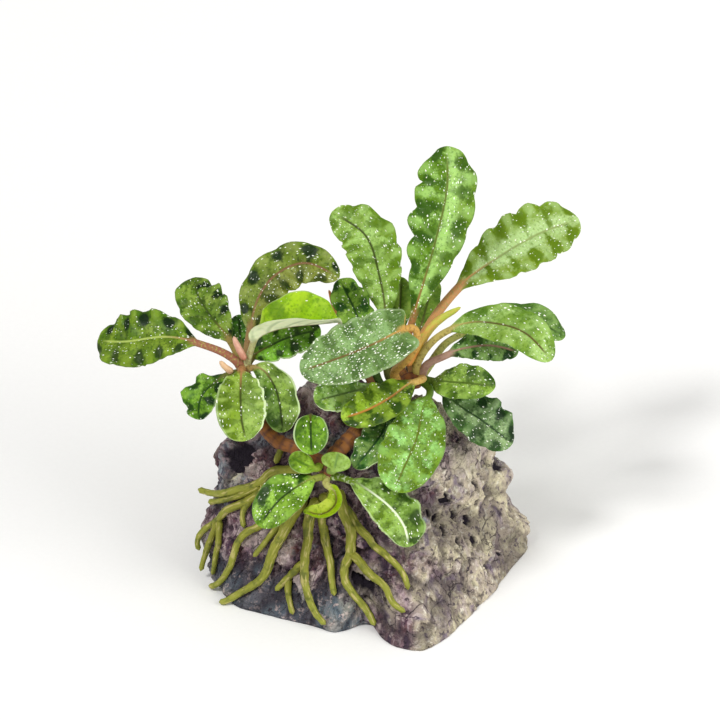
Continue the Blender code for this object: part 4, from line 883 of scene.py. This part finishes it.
def beige_share(point, stains):
    """How beige the rock is at the point, from 0 to 1: on its right side, but for a few patches."""
    ragged = BEIGE_WANDER * noise.fractal(point / BEIGE_SIZE, 0.9, 2.0, 4)
    at_back = 1 + max(0.0, point.y - BACK_START) / BACK_WIDTH
    beige = clamp((point.x + BEIGE_SLANT * point.y + ragged * at_back - BEIGE_START) / BEIGE_WIDTH)
    for centre, radius, stained in stains:
        cover = clamp(PATCH_CORE - (point - centre).length / radius + PATCH_RAGGEDNESS * ragged)
        beige += (stained - beige) * cover
    return beige


def broken_faces(point, size, tilt):
    """The height of a patchwork of flat faces that many millimetres across, each with its own tilt."""
    centre = noise.voronoi(point / size)[1][0] * size
    leaning = noise.cell_vector(centre) - Vector((0.5, 0.5, 0.5))
    return (point - centre).dot(leaning) * tilt


def weathering(point):
    """How far the surface stands out, in millimetres: lumps, broad swells, ledges and broken faces.
    Also gives how deep in a crack between lumps the point is, from 0 to 1."""
    nearest = noise.voronoi(point / LUMP_SIZE)[0]
    rise = min(1.0, (nearest[1] - nearest[0]) * LUMP_STEEPNESS)
    swell = noise.fractal(point / SWELL_SIZE, 1.0, 2.0, 3)
    level = point.z + LEDGE_SLOPE * point.x + LEDGE_WANDER * noise.noise(point / SWELL_SIZE)
    ledge = abs((level / LEDGE_SPACING % 1.0) - 0.5) * 2 - 0.5
    softness = 1 - (1 - SMOOTH_SIDE_LUMPS) * smooth_share(point)
    broad = LUMP_HEIGHT * (rise - 0.5) * softness + SWELL_HEIGHT * swell + LEDGE_DEPTH * ledge
    broad += broken_faces(point, BREAK_SIZE, BREAK_TILT)
    return broad, max(0.0, 1 - rise * BROAD_CRACK_STEEPNESS) * softness


def roughness_at(point):
    """The fine relief: chips, cracks, grit and open pores. Also gives the pore's depth as a share
    of the deepest."""
    crack = noise.voronoi(point / CRACK_SIZE)[0]
    grit = noise.fractal(point / GRIT_SIZE, 0.8, 2.0, 3)
    bubble = noise.voronoi(point / PORE_SPACING)[0][0]
    pore = max(0.0, 1 - (bubble / PORE_REACH) ** 2)
    rise = min(1.0, (crack[1] - crack[0]) * CRACK_STEEPNESS)
    height = CRACK_HEIGHT * (rise - CRACK_LEVEL) + GRIT_HEIGHT * grit
    height += broken_faces(point, CHIP_SIZE, CHIP_TILT)
    return height - PORE_DEPTH * pore, pore


def found_on(surface, marks):
    """The marks that are given as they are seen from the front, as points on the surface."""
    found = []
    for right, up, radius, strength in marks:
        hit = seen_at(surface, right, up)
        if hit:
            found.append((hit, radius, strength))
    return found


def hollow_depth(point, hollows):
    depths = (
        depth * max(0.0, 1 - ((point - centre).length / radius) ** 2) ** 2
        for centre, radius, depth in hollows
    )
    return sum(depths)


def pit_centres(surface):
    """The pits on the face that shows, then others spread over the rest of the stone."""
    pits = found_on(surface, FRONT_PITS)
    chance = random.Random(OTHER_PIT_SEED)
    core = Vector(STONE_CORE)
    while len(pits) < len(FRONT_PITS) + OTHER_PITS:
        direction = Vector((chance.gauss(0, 1), chance.gauss(0, 1), chance.gauss(0, 1))).normalized()
        radius = chance.uniform(*OTHER_PIT_RADIUS)
        hit = surface.ray_cast(core, direction)[0]
        hidden_side = direction.dot(TOWARD_VIEWER) < HIDDEN_FACING
        clear = all((hit - pit[0]).length > pit[1] + radius + OTHER_PIT_ROOM for pit in pits)
        if hidden_side and clear and hit.z > LOWEST_PIT:
            pits.append((hit, radius, radius * OTHER_PIT_DEPTH))
    return pits


def pit_depth(point, pits):
    """How deep the point is in a pit, and that as a share of the pit's depth."""
    deepest, share = 0.0, 0.0
    for centre, radius, depth in pits:
        away = (point - centre).length / radius
        if away < PIT_SURROUNDS:
            away += PIT_RAGGEDNESS * noise.noise(point / PIT_NOTCH_SIZE)
        away = max(0.0, away)
        if away < 1 and depth * (1 - away * away) ** PIT_STEEPNESS > deepest:
            share = (1 - away * away) ** PIT_STEEPNESS
            deepest = depth * share
    return deepest, share


def build_stone():
    core = Vector(STONE_CORE)
    hull = stone_hull()
    hull_tree = BVHTree.FromBMesh(hull)
    bm = bmesh.new()
    bmesh.ops.create_icosphere(bm, subdivisions=STONE_SUBDIVISIONS, radius=1)
    for vert in bm.verts:
        vert.co = hull_tree.ray_cast(core, vert.co.normalized())[0]
    for _ in range(STONE_SMOOTHINGS):
        bmesh.ops.smooth_vert(
            bm, verts=bm.verts[:], factor=STONE_SMOOTHING,
            use_axis_x=True, use_axis_y=True, use_axis_z=True,
        )
    smooth_stone = BVHTree.FromBMesh(bm)
    pits = pit_centres(smooth_stone)
    hollows = found_on(smooth_stone, HOLLOWS)
    stains = found_on(smooth_stone, STAIN_PATCHES)
    pits_that_show = pits[:len(FRONT_PITS)]
    near_pits = [
        edge for edge in bm.edges
        if any((edge.verts[0].co - pit[0]).length < PIT_SURROUNDS * pit[1] for pit in pits_that_show)
    ]
    bmesh.ops.subdivide_edges(bm, edges=near_pits, cuts=PIT_REFINEMENT, use_grid_fill=True)
    form_layer = bm.verts.layers.float_vector.new("form")
    for vert in bm.verts:
        start = vert.co.copy()
        outward = (start - core).normalized()
        worn = clamp((start.z - FOOT_START) / UNWORN_FOOT)
        broad, crack = weathering(start)
        depth, pit_share = pit_depth(start, pits)
        fine, pore = roughness_at(start)
        vert.co = start + outward * ((broad + fine) * worn - depth - hollow_depth(start, hollows))
        # Painted shade for cracks, pores and pits, and painted light by relief: paler on crests, darker in
        # dips
        in_pit = pit_share * PIT_SHADE - PIT_EDGE
        hollow_shade = min(1.0, max(CRACK_SHADE * crack, in_pit, PORE_SHADE * pore))
        relief_light = clamp(0.5 + CREST_GAIN * (broad + fine))
        vert[form_layer] = (hollow_shade, beige_share(start, stains), relief_light)
    bmesh.ops.bisect_plane(
        bm, geom=bm.verts[:] + bm.edges[:] + bm.faces[:], dist=1e-4,
        plane_co=(0, 0, 0), plane_no=(0, 0, 1), clear_inner=True,
    )
    for vert in bm.verts:
        if vert.co.z < FOOT_FLATNESS:
            vert.co.z = 0
    bmesh.ops.holes_fill(bm, edges=[edge for edge in bm.edges if edge.is_boundary])
    bmesh.ops.triangulate(bm, faces=bm.faces[:])
    bmesh.ops.recalc_face_normals(bm, faces=bm.faces[:])
    hull.free()
    return bm


# Stems, sheaths and roots

def pushed_off(point, clear, surface):
    """The point, moved out of the stone until it is this far from its surface."""
    found, normal, _, distance = surface.find_nearest(point)
    inside = (point - found).dot(normal) < 0
    if inside:
        return found + normal * clear
    if distance < clear:
        return found + (point - found).normalized() * clear
    return point


def evened(points, times):
    """The points, each moved to the middle of its neighbours a few times, with the ends kept."""
    for _ in range(times):
        middles = [(a + b * 2 + c) / 4 for a, b, c in zip(points, points[1:], points[2:])]
        points = [points[0]] + middles + [points[-1]]
    return points


def round_tube(points, radii, sides, seed, knobs, scars=None):
    """A tube along the points, with a radius for each, and rounded ends."""
    last = len(points) - 1
    along = [0.0]
    for a, b in zip(points, points[1:]):
        along.append(along[-1] + (b - a).length)
    side = (points[1] - points[0]).cross(Vector((0.3, 0.2, 1))).normalized()
    frames = []
    for i in range(last + 1):
        direction = (points[min(i + 1, last)] - points[max(i - 1, 0)]).normalized()
        side = (side - direction * side.dot(direction)).normalized()
        frames.append((side, direction.cross(side)))

    def surface_at(ring, angle):
        side, rise = frames[ring]
        outward = side * math.cos(angle) + rise * math.sin(angle)
        knob = 1 + knobs * noise.noise((points[ring] + outward * radii[ring]) / KNOB_SIZE)
        to_end = min(along[ring], along[-1] - along[ring]) / radii[ring]
        rounding = math.sqrt(max(LEAST_ROUNDING, 1 - max(0.0, 1 - to_end) ** 2))
        scar = scars[ring] if scars else 0.0
        return (
            points[ring] + outward * radii[ring] * knob * rounding,
            (
                math.cos(angle) * radii[ring],
                along[ring],
                math.sin(angle) * radii[ring] + GRAIN_STEP * seed,
            ),
            (along[ring] / along[-1], 0.0, scar),
            0.0,
        )

    return tube_mesh(sides, last + 1, surface_at)


def stem_points(path, end_radii, surface):
    """Points along a stem on the stone, its radii, and how deep in a ring scar each is."""
    curve = smooth_path([place(*p) for p in path])
    shares = even_shares(curve, STEM_SPACING)
    points, radii, scars = [], [], []
    for i, (share, (point, _)) in enumerate(zip(shares, walk(curve, shares))):
        radius = end_radii[0] + (end_radii[1] - end_radii[0]) * share
        scar = abs(math.sin(math.pi * i * STEM_SPACING / SCAR_SPACING)) ** 0.5
        points.append(pushed_off(point, radius * STEM_ROOM, surface))
        radii.append(radius * (1 - SCAR_SWELLING / 2 + SCAR_SWELLING * scar * 1.5))
        scars.append((1 - scar) ** 0.5)
    return evened(points, STEM_EVENING), radii, scars


def laid_on_stone(root, surface, made):
    """Points along a root, dropped onto the stone from the viewer's side, and its radii."""
    flat = smooth_path([Vector((right, up, 0)) for right, up in root.path])
    shares = even_shares(flat, ROOT_SPACING)
    nears = []
    for spot, _ in walk(flat, shares):
        hit = seen_at(surface, spot.x, spot.y)
        nears.append(hit.dot(TOWARD_VIEWER) if hit else nears[-1] - OVERHANG_DROP)
    bridged = [
        max(near, (nears[max(i - ROOT_BRIDGE, 0)] + nears[min(i + ROOT_BRIDGE, len(nears) - 1)]) / 2)
        for i, near in enumerate(nears)
    ]
    points, radii = [], []
    for (spot, _), near, share in zip(walk(flat, shares), bridged, shares):
        radius = ROOT_SKIN + root.start_radius + (root.end_radius - root.start_radius) * share
        point = pushed_off(place(spot.x, spot.y, near + radius), radius + ROOT_LIFT, surface)
        point.z = max(point.z, radius)
        points.append(point)
        radii.append(radius)
    points = evened(points, ROOT_EVENING)
    others = [other for stem in made for other in stem]
    nearest = min(others, key=lambda other: (other - points[0]).length)
    gap = (nearest - points[0]).length
    if gap < JOIN_REACH:
        joins = max(1, round(gap / ROOT_SPACING))
        lead = [nearest.lerp(points[0], i / joins) for i in range(joins)]
        points = evened(lead + points, JOIN_EVENING)
        radii = [radii[0]] * joins + radii
    return points, radii


# Leaves

def blade_width(share, leaf):
    """The half-width at a share of the blade: an ellipse each side of the widest place."""
    if share < leaf.widest:
        return max(0.0, 1 - (1 - share / leaf.widest) ** 2) ** leaf.taper
    return max(0.0, 1 - ((share - leaf.widest) / (1 - leaf.widest)) ** 2) ** leaf.blunt


def leaf_shares(length, stalk):
    """Places along the leaf: evenly up its stalk, then closer together at the blade's ends."""
    stalk_rings = max(LEAST_STALK_RINGS, round(stalk * length / RING_SPACING))
    blade_rings = max(LEAST_BLADE_RINGS, round((1 - stalk) * length / RING_SPACING))
    shares = [stalk * i / stalk_rings for i in range(stalk_rings)]
    for i in range(blade_rings + 1):
        even = i / blade_rings
        shares.append(stalk + (1 - stalk) * (even - RING_CROWDING * math.sin(2 * math.pi * even)))
    return shares


def leaf_mesh(leaf, seed, stems):
    """A leaf whose stalk starts inside the nearest stem."""
    midrib = [place(*p) for p in leaf.midrib]
    root_point = min(stems, key=lambda point: (point - midrib[0]).length)
    path = smooth_path([root_point] + midrib)
    length = length_of(path)
    lead = length_of(path[:PATH_STEPS + 1])
    stalk = (lead + leaf.stalk * (length - lead)) / length
    shares = leaf_shares(length, stalk)
    facings = leaf.facing if isinstance(leaf.facing[0], tuple) else (leaf.facing, leaf.facing)
    first, second = (place(*facing).normalized() for facing in facings)
    vein_gap = VEIN_GAP * leaf.wide
    rows = []
    for share, (centre, direction) in zip(shares, walk(path, shares)):
        toward = first.lerp(second, share)
        face = (toward - direction * toward.dot(direction)).normalized()
        side = face.cross(direction)
        blade = max(0.0, (share - stalk) / (1 - stalk))
        spread = blade_width(blade, leaf)
        sheathing = 1 + STALK_FOOT * max(0.0, 1 - share / stalk) ** 2
        stalk_radius = leaf.thick_stalk * (1 - STALK_THINNING * blade) * sheathing
        flat = min(1.0, blade * STALK_FADE)
        thick = STALK_FLATNESS * stalk_radius * (1 - flat) + BLADE_THICKNESS * flat
        rows.append((centre, direction, side, face, stalk_radius, thick, blade, spread, share * length))

    def surface_at(ring, angle):
        centre, direction, side, face, stalk_radius, thick, blade, spread, along = rows[ring]
        turn = math.cos(angle)
        upper = math.sin(angle)
        out = abs(turn) ** ACROSS_CROWDING
        left = turn > 0
        wander = noise.noise(Vector((seed * 3.1, blade * leaf.waves * WANDER_RATE, 5 if left else 9)))
        phase = 2 * math.pi * leaf.waves * blade + (0 if left else WAVE_OFFSET) + WAVE_WANDER * wander
        wave = math.sin(phase)
        frill = FRILL * math.sin(FRILLS_TO_A_WAVE * phase + seed) * out
        # Round lobes on the crests, with a sharp notch between them
        lobe = abs(math.sin(phase / 2 + math.pi / 4)) ** LOBE_SHARPNESS * LOBE_HEIGHT - 1
        reach = leaf.scallop[0 if left else 1] * min(1.0, spread * SCALLOP_RISE)
        scallop = 1 + reach * (lobe + LOBE_WANDER * wander)
        width = math.hypot(stalk_radius, leaf.wide * spread * scallop)
        off = out * width
        fold = math.radians(leaf.fold) * min(1.0, spread * FOLD_RISE)
        curl = leaf.wave_depth * (wave + frill) * out ** WAVE_CURL
        lift = (curl + leaf.cup * leaf.wide * out * out) * spread
        vein = 0.5 - 0.5 * math.cos(2 * math.pi * (along - VEIN_SLANT * off) / vein_gap)
        lift += QUILT_HEIGHT * vein * math.sin(math.pi * min(1.0, out * QUILT_REACH)) * spread
        dip, breadth = GROOVE if upper > 0 else KEEL
        lift -= dip * math.exp(-((off / breadth) ** 2)) * spread * abs(upper)
        across = off if left else -off
        lobed = max(0.0, 1 - blade / HEART_REACH) ** HEART_FADE
        point = (
            centre
            + side * across * math.cos(fold)
            + face * (off * math.sin(fold) * (spread > 0) + lift + thick * upper)
            - direction * leaf.heart * out ** HEART_CURVE * spread * lobed
        )
        return (
            point,
            (across, along, LEAF_GRAIN_STEP * seed),
            (out, blade, 0.5 + 0.5 * max(-1.0, min(1.0, upper * FACE_EDGE))),
            wave,
        )

    return tube_mesh(LEAF_SIDES, len(shares), surface_at)


def sheath_mesh(sheath, seed):
    path = smooth_path([place(*p) for p in sheath.path])
    shares = even_shares(path, STEM_SPACING)
    points = [point for point, _ in walk(path, shares)]
    radii = []
    for share in shares:
        for (start, size), (end, next_size) in zip(SHEATH_OUTLINE, SHEATH_OUTLINE[1:]):
            if start <= share <= end:
                break
        radii.append(sheath.radius * (size + (next_size - size) * (share - start) / (end - start)))
    return round_tube(points, radii, SHEATH_SIDES, seed, SHEATH_KNOBS)


# Stage

def build_stage():
    bm = bmesh.new()
    bmesh.ops.create_grid(bm, x_segments=1, y_segments=1, size=FLOOR_SIZE / 2 * MM)
    bmesh.ops.translate(bm, verts=bm.verts[:], vec=(0, 0, -FLOOR_GAP * MM))
    add_mesh("floor", bm, backdrop_paper())


def add_light(name, kind, energy, toward, settings):
    """A light that shines from the given direction at the middle of the plant."""
    data = bpy.data.lights.new(name, kind)
    data.energy = energy
    for setting, value in settings.items():
        setattr(data, setting, value)
    light = add_object(name, data)
    back = Vector(toward).normalized()
    light.location = Vector(LIT_SPOT) + back * LIGHT_DISTANCE
    light.rotation_euler = back.to_track_quat("Z", "Y").to_euler()


def build_lights():
    """Even studio light, a little stronger from the upper left, as the leaves are painted."""
    world = bpy.data.worlds.new("studio")
    world.use_nodes = True
    sky = world.node_tree.nodes["Background"]
    sky.inputs["Color"].default_value = (1, 1, 1, 1)
    sky.inputs["Strength"].default_value = SKY_STRENGTH
    bpy.context.scene.world = world
    add_light("key", "SUN", KEY_STRENGTH, (-0.6, -0.6, 1.0), {"angle": KEY_SPREAD})
    add_light("fill", "AREA", FILL_WATTS, (1.0, -0.7, 0.5), {"size": FILL_SIZE})


def build_camera():
    data = bpy.data.cameras.new("camera")
    data.sensor_width = SENSOR
    data.lens = SENSOR * CAMERA_DISTANCE / (PIXEL * PICTURE)
    data.clip_end = CLIP_END
    camera = add_object("camera", data)
    camera.location = (place(*AIM) + TOWARD_VIEWER * CAMERA_DISTANCE) * MM
    camera.rotation_euler = TOWARD_VIEWER.to_track_quat("Z", "Y").to_euler()
    bpy.context.scene.camera = camera


def build_plant(surface):
    corky_rhizome = plant_skin("corky_rhizome", "8A5424", "8C5A26", "36202A", 0.6, scars=0.6)
    holdfast_root = plant_skin("holdfast_root", "7E7E26", "8C9034", "4A5218", 0.6, pale="BCAE70")
    made = []
    stems = (("rhizome", RHIZOME_PATH, RHIZOME_RADII), ("left_stem", LEFT_STEM_PATH, LEFT_STEM_RADII))
    for seed, (name, path, radii) in enumerate(stems):
        points, radii, scars = stem_points(path, radii, surface)
        made.append(points)
        tube = round_tube(points, radii, STEM_SIDES, seed, STEM_KNOBS, scars)
        finish_piece(name, tube, corky_rhizome)
    crowns = [point for points in made for point in points[STEM_TIP:-STEM_TIP]]
    for seed, root in enumerate(ROOTS):
        points, radii = laid_on_stone(root, surface, made)
        made.append(points)
        tube = round_tube(points, radii, ROOT_SIDES, seed, ROOT_KNOBS)
        finish_piece(root.name, tube, holdfast_root)
    for seed, sheath in enumerate(SHEATHS):
        skin = plant_skin(sheath.name + "_papery_sheath", sheath.foot, sheath.tip, sheath.foot, 0.45)
        finish_piece(sheath.name, sheath_mesh(sheath, seed), skin)
    for seed, leaf in enumerate(LEAVES):
        finish_piece(leaf.name, leaf_mesh(leaf, seed, crowns), leaf_skin(leaf))


stone = build_stone()
stone_surface = BVHTree.FromBMesh(stone)
finish_piece("stone", stone, lava_stone())
build_plant(stone_surface)
build_stage()
build_lights()
build_camera()
bpy.context.scene.view_settings.view_transform = "Standard"
